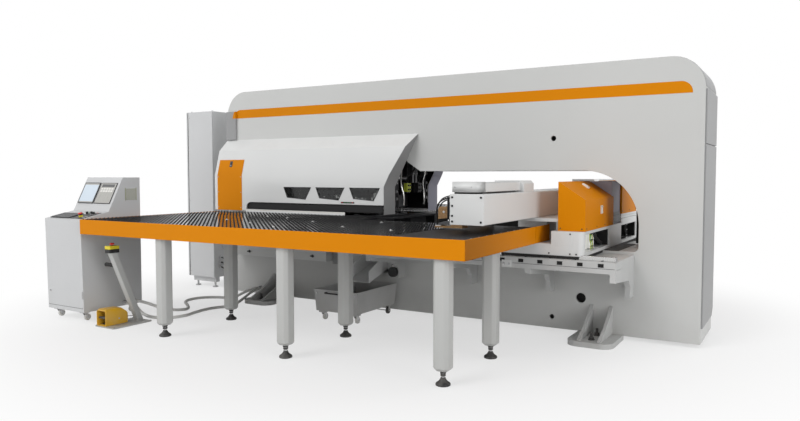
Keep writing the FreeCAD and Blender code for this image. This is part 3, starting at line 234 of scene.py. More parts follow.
def placeEffect(tree, effect, place, **values):
    return addNode(tree, "Group", {"Place": place, **values}, node_tree=effects[effect]).outputs


def blendColour(tree, mask, under, over):
    inputs = {0: mask, 6: under, 7: (*over, 1)}
    return addNode(tree, "Mix", inputs, data_type="RGBA").outputs[2]


# A Principled finish whose colour, roughness and relief come from the shared effects.
def makeFinish(name, colour, rough=0.45, metal=0.0, spread=0.04, driftScale=2.0, grain=260.0,
               depth=0.00003, stretch=(1, 1, 1), roughSwing=0.08, wear=0.35, wearRadius=0.003,
               wearColour=(0.5, 0.5, 0.5), dust=0.22, splash=0.3, dustColour=(0.36, 0.34, 0.31),
               speckle=0.0, coat=0.0, coatRough=0.1, glass=0.0, ior=1.45, glow=0.0, shine=0.4):
    finish = bpy.data.materials.new(name)
    finish.use_nodes = True
    tree = finish.node_tree
    shader = tree.nodes["Principled BSDF"].inputs
    place = addNode(tree, "TexCoord").outputs["Object"]
    tone = placeEffect(tree, "drift", place, Colour=(*colour, 1), Spread=spread, Scale=driftScale)["Colour"]
    relief = placeEffect(tree, "grain", place, Stretch=stretch, Scale=grain, Depth=1.0)
    if speckle:  # grain that also shows in the colour, as on cast, brushed or zinc surfaces
        darker = tuple(c * (1 - speckle) for c in colour)
        tone = blendColour(tree, remap(tree, relief["Shade"], 0.35, 0.65), tone, darker)
    if wear:
        rubbed = placeEffect(tree, "wear", place, Radius=wearRadius, Amount=wear)
        tone = blendColour(tree, rubbed["Mask"], tone, wearColour)
    if dust or splash:
        dusty = placeEffect(tree, "dust", place, Amount=dust, Splash=splash)
        tone = blendColour(tree, dusty["Mask"], tone, dustColour)
    roughness = remap(tree, relief["Shade"], 0.3, 0.7, max(0.02, rough - roughSwing), rough + roughSwing)
    bump = addNode(tree, "Bump", {"Strength": 0.6, "Distance": depth, "Height": relief["Height"]})
    for label, socket in (("Base Color", tone), ("Roughness", roughness), ("Normal", bump.outputs[0])):
        tree.links.new(socket, shader[label])
    for label, value in (("Metallic", metal), ("Coat Weight", coat), ("Coat Roughness", coatRough),
                         ("IOR", ior), ("Specular IOR Level", shine), ("Transmission Weight", glass)):
        shader[label].default_value = value
    if glow:
        tree.links.new(tone, shader["Emission Color"])
        shader["Emission Strength"].default_value = glow
    return finish


paint = dict(depth=0.00004, grain=320.0, roughSwing=0.06)
looks = {  # colour, roughness, metallic share where there is one, and what differs from a plain finish
    "framePaint": ((0.560, 0.565, 0.555), 0.42, dict(
        wearColour=(0.42, 0.42, 0.41), spread=0.05, driftScale=0.9, coat=0.12, coatRough=0.25, **paint)),
    "castPaint": ((0.52, 0.525, 0.52), 0.5, dict(
        grain=90, depth=0.0009, spread=0.08, driftScale=4, wearColour=(0.33, 0.33, 0.32), splash=0.5)),
    # painted shade: a grey darkened well below the frame's own, for the end covers, the corner sheet above
    # them and the front hood's end trim
    "shadedEndPaint": ((0.30, 0.302, 0.305), 0.45, paint),
    "sheetPaint": ((0.665, 0.672, 0.668), 0.36, dict(
        wearColour=(0.5, 0.5, 0.48), wearRadius=0.002, coat=0.2, coatRough=0.2, spread=0.03, **paint)),
    # lilac grey: the drive housing's own paint, and on the rear hood's end trim it stands in for painted
    # shade on the white sheet
    "lilacAndShadePaint": ((0.42, 0.42, 0.50), 0.5, dict(dust=0.1, **paint)),
    "orangePaint": ((0.66, 0.222, 0.0), 0.5, dict(
        wearColour=(0.50, 0.22, 0.05), wearRadius=0.0025, spread=0.035, shine=0.1, dust=0.0, splash=0.05,
        **paint)),
    "groundSteel": ((0.60, 0.60, 0.59), 0.24, 1.0, dict(
        stretch=(1, 12, 12), grain=160, depth=0.00003, speckle=0.12, wear=0, dust=0.1)),
    # dark steel, darkened further so the turrets and striker also carry painted shade of the bay under the
    # hoods
    "turnedSteel": ((0.09, 0.09, 0.095), 0.42, 0.85, dict(
        stretch=(4, 4, 30), grain=60, depth=0.00004, speckle=0.2, wear=0.4, wearColour=(0.7, 0.7, 0.7),
        dust=0.3, dustColour=(0.08, 0.075, 0.07))),
    "toolSteel": ((0.10, 0.10, 0.105), 0.4, 0.8, dict(
        grain=180, depth=0.00005, speckle=0.3, wear=0.7, wearColour=(0.6, 0.6, 0.6))),
    "clampBronze": ((0.34, 0.20, 0.09), 0.45, 0.35, dict(
        grain=110, depth=0.0002, speckle=0.35, wear=0.6, wearColour=(0.6, 0.45, 0.26))),
    "darkSteel": ((0.020, 0.020, 0.022), 0.46, dict(
        grain=140, depth=0.00006, spread=0.15, wear=0.5, dust=0.03, wearColour=(0.25, 0.25, 0.25),
        shine=0.25, ior=1.2)),
    "glossBoard": ((0.022, 0.022, 0.023), 0.13, dict(
        grain=30, depth=0.00004, roughSwing=0.04, spread=0.2, wear=0, dust=0.02, splash=0, ior=1.6,
        shine=0.8)),
    "bristle": ((0.016, 0.016, 0.017), 0.62, dict(
        grain=900, depth=0.0006, speckle=0.4, stretch=(1, 1, 0.1), wear=0, dust=0.05, splash=0)),
    "legPaint": ((0.47, 0.475, 0.465), 0.42, dict(
        wearColour=(0.3, 0.3, 0.3), coat=0.12, spread=0.05, splash=0.45, **paint)),
    "blackIron": ((0.018, 0.018, 0.019), 0.46, dict(
        grain=160, depth=0.0003, wear=0.6, splash=0.35, wearColour=(0.16, 0.16, 0.16))),
    "cabinetPaint": ((0.56, 0.567, 0.575), 0.4, dict(
        wearColour=(0.46, 0.46, 0.45), wearRadius=0.002, coat=0.15, grain=420, depth=0.00009)),
    "cartPaint": ((0.44, 0.442, 0.438), 0.5, dict(
        wearColour=(0.22, 0.21, 0.2), wear=0.7, spread=0.1, driftScale=5, dust=0.4, splash=0.6, **paint)),
    "blackPlastic": ((0.020, 0.020, 0.021), 0.42, dict(
        grain=700, depth=0.00012, wear=0.3, dust=0.12, wearColour=(0.07, 0.07, 0.07))),
    "greyPlastic": ((0.12, 0.122, 0.125), 0.45, dict(
        grain=700, depth=0.0001, wear=0.25, dust=0.1, wearColour=(0.24, 0.24, 0.24))),
    "whitePlastic": ((0.74, 0.73, 0.70), 0.38, dict(
        grain=500, depth=0.00006, wear=0.2, dust=0.1, wearColour=(0.5, 0.5, 0.47))),
    "zinc": ((0.55, 0.55, 0.56), 0.36, 0.9, dict(
        grain=55, depth=0.00005, speckle=0.28, wear=0.3, wearColour=(0.75, 0.75, 0.75))),
    "nylonTyre": ((0.68, 0.675, 0.65), 0.48, dict(
        grain=300, depth=0.0001, wear=0.4, splash=0.6, wearColour=(0.32, 0.31, 0.29))),
    "rubber": ((0.017, 0.017, 0.017), 0.6, dict(
        grain=420, depth=0.0002, wear=0.4, wearColour=(0.07, 0.07, 0.065))),
    "redCap": ((0.60, 0.022, 0.014), 0.3, dict(
        coat=0.4, grain=500, depth=0.00003, wear=0.3, dust=0.05, wearColour=(0.7, 0.2, 0.15))),
    "yellowBox": ((0.72, 0.60, 0.03), 0.36, dict(
        grain=500, depth=0.00006, coat=0.15, wear=0.3, dust=0.08, wearColour=(0.8, 0.72, 0.3))),
    "pedalYellow": ((0.71, 0.39, 0.012), 0.4, dict(
        grain=240, depth=0.00014, coat=0.15, wear=0.5, dust=0.12, wearColour=(0.5, 0.34, 0.1))),
    "smokedGlass": ((0.20, 0.21, 0.21), 0.05, dict(
        glass=0.97, grain=6, depth=0.00002, roughSwing=0.02, wear=0, dust=0, splash=0, ior=1.25)),
    # painted light: a pale plate colour that glows though it is no lamp
    "paintedLightPlate": ((0.74, 0.74, 0.72), 0.5, dict(glow=0.35, **paint)),
    # painted glints: a pale colour that glows though it is no lamp, for the tool tips behind the hood windows
    "paintedGlintTip": ((0.74, 0.73, 0.70), 0.4, dict(wear=0, dust=0.1, splash=0, glow=0.9)),
    "screenBlue": ((0.56, 0.64, 0.72), 0.18, dict(
        coat=0.6, coatRough=0.05, grain=900, depth=0.00001, wear=0, dust=0.03, glow=0.12)),
    "keyGrey": ((0.43, 0.425, 0.40), 0.4, dict(coat=0.2, grain=600, depth=0.00005, wear=0.2, dust=0.06)),
    "oliveVent": ((0.34, 0.35, 0.22), 0.5, dict(grain=200, depth=0.0002, dust=0.2)),
    "conduitSkin": ((0.74, 0.74, 0.72), 0.42, dict(
        grain=300, depth=0.0001, wear=0.4, wearRadius=0.0012, wearColour=(0.55, 0.55, 0.53), splash=0.5)),
    "limePlug": ((0.42, 0.47, 0.05), 0.4, dict(grain=400, depth=0.0001, dust=0.15)),
    # painted shade: a near-black that stands in for the shade inside holes, pockets, slots, counterbores and
    # gaps
    "paintedShadeBlack": ((0.008, 0.008, 0.008), 0.7, dict(wear=0, dust=0.05)),
    "greenCap": ((0.03, 0.33, 0.07), 0.32, dict(coat=0.3, wear=0.2)),
    "brightBolt": ((0.5, 0.5, 0.5), 0.3, 1.0, dict(
        grain=300, speckle=0.2, wear=0.3, wearColour=(0.8, 0.8, 0.8))),
}
finishes = {name: makeFinish(name, *values, **extras) for name, (*values, extras) in looks.items()}
print("finishes are mixed:", len(finishes))


# the CAD nodes keep their shape and get softer edges and their own finish
cadFinishes = {  # (finish, how far the edges are rounded in millimetres): nodes
    # the end covers get the darker grey that paints their shade
    ("framePaint", 3): "o_frame", ("shadedEndPaint", 1.5): "frame_covers",
    ("castPaint", 4): "frame_feet rail_ledges",
    ("sheetPaint", 1): "beam_trays", ("sheetPaint", 1.2): "hood_front hood_rear slug_chute",
    ("sheetPaint", 1.5): "lower_skirts", ("sheetPaint", 2): "carriage_beam",
    ("sheetPaint", 3): "bridge_saddle",
    ("smokedGlass", 0.3): "hood_windows", ("orangePaint", 1): "corner_guards",
    ("orangePaint", 2): "table_fascias", ("orangePaint", 3): "drive_covers",
    ("turnedSteel", 1): "striker", ("turnedSteel", 2): "upper_turret lower_turret",
    ("toolSteel", 1): "punch_holders die_holders clamp_jaw_front clamp_jaw_rear",
    ("toolSteel", 1.2): "ram_cylinder", ("groundSteel", 0.5): "ball_transfers",
    ("groundSteel", 1): "die_anvil bridge_rails", ("darkSteel", 1): "table_tops",
    ("darkSteel", 1.5): "clamp_carriage centre_table", ("clampBronze", 2): "clamp_bodies",
    ("legPaint", 1.5): "pedal_stand", ("legPaint", 2): "table_frames", ("legPaint", 6): "table_legs",
    ("cabinetPaint", 2): "electrical_cabinet cabinet_door console_cabinet", ("cartPaint", 1.5): "cart_bin",
    ("blackPlastic", 1): "console_panel", ("blackPlastic", 2): "door_handle", ("blackIron", 1): "foot_pedal",
    ("zinc", 0.8): "cart_left_fork cart_right_fork console_left_fork console_right_fork",
}


# Rounds the sharp edges with a small bevel and lets the broad faces rule the shading.
def softenEdges(thing, width, weld=False):
    thing.data.polygons.foreach_set("use_smooth", [True] * len(thing.data.polygons))
    if weld:
        thing.modifiers.new("weld", "WELD").merge_threshold = 1e-5
        flat = thing.modifiers.new("flatten", "DECIMATE")
        flat.decimate_type = "DISSOLVE"
        flat.angle_limit = 0.02
    if width:
        bevel = thing.modifiers.new("edges", "BEVEL")
        bevel.width = width * mm
        bevel.segments = 2
        bevel.limit_method = "ANGLE"
        bevel.angle_limit = facets["sharpAngle"]
    thing.modifiers.new("shading", "WEIGHTED_NORMAL").keep_sharp = False


for (finish, width), names in cadFinishes.items():
    for name in names.split():
        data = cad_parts[name].data
        data.materials.clear()
        data.materials.append(finishes[finish])
        if "custom_normal" in data.attributes:
            data.attributes.remove(data.attributes["custom_normal"])
        softenEdges(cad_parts[name], width, weld=True)
print("CAD nodes are dressed:", sum(len(names.split()) for names in cadFinishes.values()))


# mesh tools
# One piece's mesh, laid out in millimetres and finished face by face.
class Shape:

    def __init__(self):
        self.mesh, self.finishes, self.stand = bmesh.new(), [], Matrix.Identity(4)

    def loft(self, loops, finish, caps=True):
        if finish not in self.finishes:
            self.finishes.append(finish)
        rings = [[self.mesh.verts.new(self.stand @ Vector(spot)) for spot in loop] for loop in loops]
        faces = [(a, b, d, c) for low, high in zip(rings, rings[1:])
                 for a, b, c, d in zip(low, low[1:] + low[:1], high, high[1:] + high[:1])]
        if caps:
            faces += [rings[0][::-1], rings[-1]]
        for corners in faces:
            self.mesh.faces.new(corners).material_index = self.finishes.index(finish)

    # An outline in the two other axes, in x, y, z order, drawn out along one.
    def prism(self, outline, low, high, finish, axis=2):
        depths = sorted((low, high))
        self.loft([[(*spot[:axis], depth, *spot[axis:]) for spot in outline] for depth in depths], finish)

    # A box between any two opposite corners.
    def block(self, first, second, finish):
        (x0, x1), (y0, y1), (z0, z1) = map(sorted, zip(first, second))
        self.prism([(x0, y0), (x1, y0), (x1, y1), (x0, y1)], z0, z1, finish)

    # An outline with a round hole through it, drawn up along z.
    def pierced(self, outline, hole, low, high, finish):
        x, y, radius = hole
        step = 2 * math.pi / len(outline)
        first = math.atan2(outline[0][1] - y, outline[0][0] - x)
        lags = [(math.atan2(spot[1] - y, spot[0] - x) - first - step * i + math.pi) % (2 * math.pi) - math.pi
                for i, spot in enumerate(outline)]
        rim = circle(radius, len(outline), (x, y), first + sum(lags) / len(lags))
        before = set(self.mesh.verts)
        sides = ((outline, low), (outline, high), (rim, high), (rim, low), (outline, low))
        self.loft([[(*spot, z) for spot in side] for side, z in sides], finish, caps=False)
        seam = [v for v in self.mesh.verts if v not in before]
        bmesh.ops.remove_doubles(self.mesh, verts=seam, dist=0.001)

    # (radius, height) pairs turned about a line through a point.
    def turned(self, profile, at, finish, way=zWay, sides=facets["round"]):
        turn = Vector(way).to_track_quat("Z", "Y")
        self.loft([[Vector(at) + turn @ Vector((*spot, height)) for spot in circle(max(radius, 0.02), sides)]
                   for radius, height in profile], finish)

    # The same turned detail at each of several spots.
    def studs(self, profile, spots, finish, way=zWay, sides=facets["small"]):
        for spot in spots:
            self.turned(profile, spot, finish, way, sides)

    def rod(self, start, end, radius, finish, sides=facets["round"]):
        way = Vector(end) - Vector(start)
        self.turned([(radius, 0), (radius, way.length)], start, finish, way, sides)

    # A socket screw's head with its recess.
    def bolt(self, at, way, radius, finish="brightBolt"):
        deep = radius * 0.9
        self.turned([(radius, 0), (radius, deep * 0.8), (radius * 0.85, deep), (radius * 0.5, deep),
                     (radius * 0.45, deep * 0.4)], at, finish, way, facets["small"])

    # A tube through the points of a line, with a radius for each point.
    def tube(self, line, radii, finish, sides=facets["small"]):
        line = [Vector(p) for p in line]
        ways = [(b - a).normalized() for a, b in zip(line, line[1:])]
        ways = [ways[0]] + [(a + b).normalized() for a, b in zip(ways, ways[1:])] + [ways[-1]]
        side = ways[0].orthogonal().normalized()
        loops = []
        for place, way, radius in zip(line, ways, radii):
            side = (side - way * side.dot(way)).normalized()
            rise = way.cross(side)
            loops.append([place + (side * u + rise * v) * radius for u, v in circle(1, sides)])
        self.loft(loops, finish)

    # A rigid pipe along a smooth curve.
    def pipe(self, route, radius, finish):
        line = evenSteps(smoothLine(route, 8), 0.012)
        self.tube([p / mm for p in line], [radius] * len(line), finish, 10)

    # Makes the object, which rides on a CAD body and may stand for CAD nodes.
    def finish(self, name, body, slotName, edge=0.8, *replaced):
        bmesh.ops.scale(self.mesh, vec=(mm, mm, mm), verts=self.mesh.verts)
        bmesh.ops.recalc_face_normals(self.mesh, faces=self.mesh.faces)
        data = bpy.data.meshes.new(name)
        self.mesh.to_mesh(data)
        self.mesh.free()
        for label in self.finishes:
            data.materials.append(finishes[label])
        piece = bpy.data.objects.new(name, data)
        softenEdges(piece, edge)
        return placePiece(piece, body, slotName, *replaced)


def placePiece(piece, body, slotName, *replaced):
    scene.collection.objects.link(piece)
    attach(piece, body)
    if replaced:
        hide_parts(*replaced)
    return piece


# Draws the piece that is named like the function below it: body, slot (not used), edge, CAD nodes it stands
# for.
def drawPiece(*place):
    def draw(function):
        shape = Shape()
        function(shape)
        shape.finish(function.__name__, *place)
        return function
    return draw


def circle(radius, sides, middle=(0, 0), start=0.0):
    turns = [start + 2 * math.pi * i / sides for i in range(sides)]
    return [(middle[0] + radius * math.cos(turn), middle[1] + radius * math.sin(turn)) for turn in turns]


def rectangle(x0, y0, x1, y1):
    return [(x0, y0), (x1, y0), (x1, y1), (x0, y1)]


# Stands local x, y, z on a slope: x stays, y runs up the slope and z comes out of it.
def slopeFrame(origin, along, out):
    along, out = Vector(along).normalized(), Vector(out).normalized()
    return Matrix([(*along.cross(out), 0), (*along, 0), (*out, 0), (*origin, 1)]).transposed()


# A polygon with some of its corners rounded.
def roundCorners(corners, radii, steps=5):
    outline = []
    for i, (corner, radius) in enumerate(zip(corners, radii)):
        here = Vector(corner)
        if not radius:
            outline.append(tuple(here))
            continue
        back = (Vector(corners[i - 1]) - here).normalized()
        ahead = (Vector(corners[(i + 1) % len(corners)]) - here).normalized()
        half = math.acos(max(-1, min(1, back.dot(ahead)))) / 2
        reach = radius / math.tan(half)
        centre = here + (back + ahead).normalized() * radius / math.sin(half)
        first, last = here + back * reach - centre, here + ahead * reach - centre
        outline += [tuple(centre + (first * (1 - k / steps) + last * k / steps).normalized() * radius)
                    for k in range(steps + 1)]
    return outline


# cords
cords = {"size": 28, "rib": 3.4, "ribDepth": 1.3, "sides": 14, "lie": 14.5, "gland": 96, "reach": -355,
         "pedalSize": 5, "pedalLength": 0.078}
lie, gland, reach = (cords[key] for key in ("lie", "gland", "reach"))
routes = {
    "conduitLeft": [(-1960, -1600, 118), (-1830, -1600, 118), (-1660, -1500, 40), (-1590, -1290, lie),
                    (-1780, -1130, lie), (-1985, -1000, lie), (-2005, -780, lie), (-1835, -650, lie),
                    (-1655, -640, lie), (-1565, -485, gland), (-1565, reach, gland)],
    "conduitRight": [(-1960, -1700, 112), (-1840, -1700, 112), (-1680, -1740, 30), (-1490, -1700, lie),
                     (-1390, -1520, lie), (-1450, -1320, lie), (-1470, -1120, lie), (-1370, -965, lie),
                     (-1435, -800, lie), (-1505, -640, 30), (-1505, -490, gland), (-1505, reach, gland)],
    "pedalCable": [(-1705, -1880, 48), (-1705, -1822, 44), (-1668, -1822, 42)],
}


# The route as one smooth NURBS curve, in metres.
def routeCurve(name, route, steps=24):
    curve = bpy.data.curves.new(name, "CURVE")
    curve.dimensions = "3D"
    spline = curve.splines.new("NURBS")
    spline.points.add(len(route) - 1)
    for point, spot in zip(spline.points, route):
        point.co = (*(v * mm for v in spot), 1)
    spline.order_u = 3
    spline.use_endpoint_u = True
    spline.resolution_u = steps
    return curve


def smoothLine(route, steps=24):
    holder = bpy.data.objects.new("lineReader", routeCurve("line", route, steps))
    line = [v.co.copy() for v in bpy.data.meshes.new_from_object(holder).vertices]
    bpy.data.objects.remove(holder)
    return line


def evenSteps(line, step):
    spots, carried = [line[0]], 0.0
    for a, b in zip(line, line[1:]):
        long = (b - a).length
        while carried + long >= step:
            a = a.lerp(b, (step - carried) / long)
            long = (b - a).length
            carried = 0.0
            spots.append(a.copy())
        carried += long
    if (line[-1] - spots[-1]).length > step * 0.3:
        spots.append(line[-1])
    return spots


# A ribbed conduit on its node's route; the return value is the length of the drawn line.
def conduit(name, node):
    line = smoothLine(routes[name])
    ribs = evenSteps(line, cords["rib"] * mm)
    radii = [cords["size"] / 2 - cords["ribDepth"] * (1 - i % 2) for i in range(len(ribs))]
    shape = Shape()
    shape.tube([p / mm for p in ribs], radii, "conduitSkin", cords["sides"])
    piece = shape.finish(name, "machine", "conduit_grey", 0, node)
    return round(sum((b - a).length for a, b in zip(line, line[1:])), 3)


lengths = [conduit("conduitLeft", "conduit_a"), conduit("conduitRight", "conduit_b")]
print("conduits measure", *lengths)


# Hexagon glands with a domed nut where each conduit goes in.
@drawPiece("machine", "zinc", 0.6, "conduit_glands")
def conduitGlands(shape):
    for x, y, z, way in ((-1990, -1600, 118, xWay), (-1990, -1700, 112, xWay),
                         (-1565, -325, gland, (0, -1, 0)), (-1505, -325, gland, (0, -1, 0))):
        shape.turned([(22, 0), (22, 12), (20, 13), (20, 16), (22, 17), (22, 27), (19, 30)], (x, y, z), "zinc",
                     way, 6)
        shape.turned([(25, 0), (25, 2.5)], Vector((x, y, z)) + Vector(way) * 0.1, "zinc", way)


# frame: stripe, lifting holes lined near-black as painted shade, anchors and cover screws
stripe = {"left": -1910, "right": 2710, "low": 1910, "high": 2000, "round": 84, "face": 325, "thick": 0.8,
          "duct": 346, "ductEnd": [(-1919, 1910), (-1875, 1910), (-1875, 1984), (-1887, 1984), (-1899, 1971),
                                   (-1910, 1944)]}

for side, name in ((-1, "stripeFront"), (1, "stripeRear")):
    shape = Shape()
    bar = rectangle(stripe["left"], stripe["low"], stripe["right"], stripe["high"])
    shape.prism(roundCorners(bar, (0, 0, stripe["round"], stripe["round"]), 8), stripe["face"] * side,
                (stripe["face"] + stripe["thick"]) * side, "orangePaint", 1)
    if side < 0:  # it carries on over the cable duct and ends in a curve
        shape.prism(stripe["ductEnd"], -stripe["duct"], 1 - stripe["duct"], "orangePaint", 1)
        shape.block((-1876, -stripe["duct"], 1910), (-1874, -stripe["face"], 1984), "orangePaint")
    shape.finish(name, "machine", "orange", 0)

endBend = {"radius": 250, "inset": 0.5, "thick": 2, "half": 312, "from": 3, "to": 79, "steps": 14,
           "end": 2798, "top": 2190}


# The sheet that goes round the upper corner above the end covers, in their dark grey, which paints shade on
# the corner.
@drawPiece("machine", "frame_grey", 0)
def frameEndBend(shape):
    radius, half = endBend["radius"], endBend["half"]
    x, z = endBend["end"] - radius, endBend["top"] - radius
    inner, outer = radius - endBend["inset"], radius + endBend["thick"]
    loops = []
    for k in range(endBend["steps"] + 1):
        angle = math.radians(endBend["from"] + (endBend["to"] - endBend["from"]) * k / endBend["steps"])
        (x0, z0), (x1, z1) = ((x + r * math.cos(angle), z + r * math.sin(angle)) for r in (inner, outer))
        loops.append([(x0, -half, z0), (x1, -half, z1), (x1, half, z1), (x0, half, z0)])
    shape.loft(loops, "shadedEndPaint")


throat = {"left": 240, "right": 2190, "half": 318, "floor": 699, "top": 702.5, "ribs": 48, "pitch": 40,
          "ribHalf": 312, "ribRise": 0.7, "flapLeft": 2184, "postLeft": 2346, "flapRight": 2376,
          "flapLow": 706, "flapTop": 1012, "post": 325, "flap": 343, "thick": 4}


# A dark rubber mat on the floor of the throat, standing in for painted shade there, and a dark post face with
# a rubber flap behind its right end, which paint the shade of the gap there.
@drawPiece("machine", "black_plastic", 0)
def throatShadeMat(shape):
    left, half, top, ribHalf, flap, low, high, right = (throat[key] for key in (
        "left", "half", "top", "ribHalf", "flap", "flapLow", "flapTop", "flapRight"))
    shape.block((left, -half, throat["floor"]), (throat["right"], half, top), "rubber")
    for x in (left + 18 + throat["pitch"] * k for k in range(throat["ribs"])):
        shape.block((x, -ribHalf, top - 0.5), (x + 4, ribHalf, top + throat["ribRise"]), "rubber")
    shape.block((throat["postLeft"], throat["post"], low), (right, flap, high), "darkSteel")
    shape.block((throat["flapLeft"], flap, low), (right, flap + throat["thick"], high), "rubber")


frameDetails = {"holes": ((1653, 1600, 22), (1897, 302, 40), (1656, 124, 20)), "holeFloor": -267,
                "anchorXs": (2065, -1285), "anchorYs": (455, 615), "screwX": 2807.4, "screwYs": (-300, 290),
                "screwZs": (230, 700, 1180, 1500, 1560, 1910)}


# A near-black liner in each lifting hole as painted shade, anchor bolts with nut and washer, screws of the
# end covers.
@drawPiece("machine", "black_feet", 0.5)
def frameFittings(shape):
    for x, z, radius in frameDetails["holes"]:
        rim = radius - 0.5
        shape.turned([(rim, 0), (rim, 40), (rim - 1.5, 40), (rim - 1.5, 4), (0, 4)],
                     (x, frameDetails["holeFloor"], z), "paintedShadeBlack", (0, -1, 0))
    for side, x, y in product((-1, 1), frameDetails["anchorXs"], frameDetails["anchorYs"]):
        at = (x, side * y, 0)
        shape.turned([(26, 40), (26, 44)], at, "blackIron")
        shape.turned([(20, 44), (20, 60), (18, 62)], at, "blackIron", sides=6)
        shape.turned([(13.5, 2), (13.5, 40), (11, 40.2), (11, 96), (9.5, 98)], at, "blackIron", sides=16)
    spots = product((frameDetails["screwX"],), frameDetails["screwYs"], frameDetails["screwZs"])
    shape.studs([(6, 0), (6, 1.6), (5, 2.4)], spots, "zinc", xWay)


print("frame is fitted")


# sheet table: tufted brushes, ball transfers, feet
brushes = {"pitch": 41.5, "plate": 912.0, "board": 914.0, "top": 921.0, "tuft": 6.7, "sides": 8,
           "left": -1926, "lean": 0.7, "wobble": 0.5, "root": 5.0, "leanHeight": 8}


# Square rows of bristle tufts on a glossy board; near and far are the rows' limits in y.
def brushField(name, right, near, far):
    left, board, tuft, top, sides = (brushes[key] for key in ("left", "board", "tuft", "top", "sides"))
    spots = [(*spot, z) for z in (brushes["plate"], board) for spot in rectangle(left, near, right, far)]
    faces = [(3, 2, 1, 0), (4, 5, 6, 7)] + [(i, (i + 1) % 4, 4 + (i + 1) % 4, 4 + i) for i in range(4)]
    plain = len(faces)
    edge, lean = tuft + 1, brushes["lean"]
    columns, rows = (int((span - 2 * edge) / brushes["pitch"]) + 1 for span in (right - left, far - near))
    for i, j in product(range(columns), range(rows)):
        x = left + edge + i * brushes["pitch"]
        y = near + edge + j * brushes["pitch"] if near < 0 else far - edge - j * brushes["pitch"]
        base = len(spots)
        slant = (rng.uniform(-lean, lean), rng.uniform(-lean, lean))
        turn = rng.uniform(0, 1)
        rough = brushes["wobble"]
        for radius, z, wobble in ((brushes["root"], board - 0.5, 0), (tuft - 0.9, top - 1.6, rough),
                                  (tuft - 2.2, top - 0.3, rough)):
            share = (z - board) / brushes["leanHeight"]
            for k in range(sides):
                angle = 2 * math.pi * (k + turn) / sides
                r = radius + rng.uniform(-wobble, wobble)
                spots.append((x + slant[0] * share + r * math.cos(angle),
                              y + slant[1] * share + r * math.sin(angle),
                              z + rng.uniform(-wobble, wobble) * 0.5))
        spots.append((x + slant[0], y + slant[1], top - 1.4))
        for ring, k in product(range(3), range(sides)):
            a, b = base + ring * sides + k, base + ring * sides + (k + 1) % sides
            faces.append((a, b, b + sides, a + sides) if ring < 2 else (a, b, base + 3 * sides))
    mesh = bpy.data.meshes.new(name)
    mesh.from_pydata([(x * mm, y * mm, z * mm) for x, y, z in spots], [], faces)
    mesh.materials.append(finishes["glossBoard"])
    mesh.materials.append(finishes["bristle"])
    mesh.polygons.foreach_set("material_index", [0] * plain + [1] * (len(faces) - plain))
    mesh.update()
    placePiece(bpy.data.objects.new(name, mesh), "machine", "brush_black", "brush_boards")
    return len(faces)


tufts = 0
for side, place in ((-1, "Front"), (1, "Rear")):
    for name, right, low, top in (("brushMain", 1180, 945, 2156), ("brushInner", 50, 537, 944)):
        tufts += brushField(name + place, right, *sorted((side * low, side * top)))
print("brush faces:", tufts)


feet = {"xs": (1550, 290, -970), "ys": (2092, 1355), "cone": [
    (43, 0), (47.5, 3), (47.5, 11), (44, 17), (33, 24), (24, 33), (19, 42), (16, 44), (16, 50)]}


# Cast cone feet on a threaded stem with a lock nut, one under each leg.
@drawPiece("machine", "black_feet", 0.6, "levelling_feet")
def levellingFeet(shape):
    for side, x, y in product((-1, 1), feet["xs"], feet["ys"]):
        at = (x, side * y, 0)
        shape.turned(feet["cone"], at, "blackIron")
        shape.turned([(11, 49), (11, 62), (10, 64), (10, 74)], at, "zinc", sides=facets["small"])
        shape.turned([(19, 60), (19, 72), (17.5, 73)], at, "blackIron", sides=6)
        shape.turned([(21, 78), (21, 90), (18, 92)], at, "blackIron", sides=6)
        shape.turned([(11, 70), (11, 80)], at, "zinc", sides=facets["small"])


curtains = {"edge": 938, "notch": 537, "step": 60, "right": 1180, "low": 706, "bar": 893, "barWide": 7,
            "top": 908, "strip": 46, "overlap": 4, "thick": 2.2, "weave": 2.4,
            "bay": ((-552, 521, 704), (100, 524, 896))}


# Overlapping rubber strips under an angle bar along the inner edges of both tables, and a rubber sheet in the
# bay; their near-black also stands in for the shade under the tables.
@drawPiece("machine", "brush_black", 0)
def tableCurtains(shape):
    step, edge, strip, bar, high = (curtains[key] for key in ("step", "edge", "strip", "bar", "top"))
    wide, thick, deep = strip + curtains["overlap"], curtains["thick"], curtains["barWide"]
    for side in (-1, 1):
        shape.block((step, edge * side, bar), (curtains["right"], (edge + deep) * side, high), "darkSteel")
        for k in range(int((curtains["right"] - step) / strip)):
            x, y = step + k * strip, (edge + 1 + curtains["weave"] * (k % 2)) * side
            foot = curtains["low"] + 3 * (k % 3)
            shape.block((x, y, foot), (x + wide, y + thick * side, bar + 1), "rubber")
        low, top = sorted((curtains["notch"] * side, edge * side))
        shape.block((step, low, bar), (step + deep, top, high), "darkSteel")
        for k in range(int((top - low) / strip)):
            x, y = step + 1 + curtains["weave"] * (k % 2), low + k * strip
            shape.block((x, y, curtains["low"] + 3 * (k % 3)), (x + thick, y + wide, bar + 1), "rubber")
        shape.block(*((x, side * y, z) for x, y, z in curtains["bay"]), "rubber")


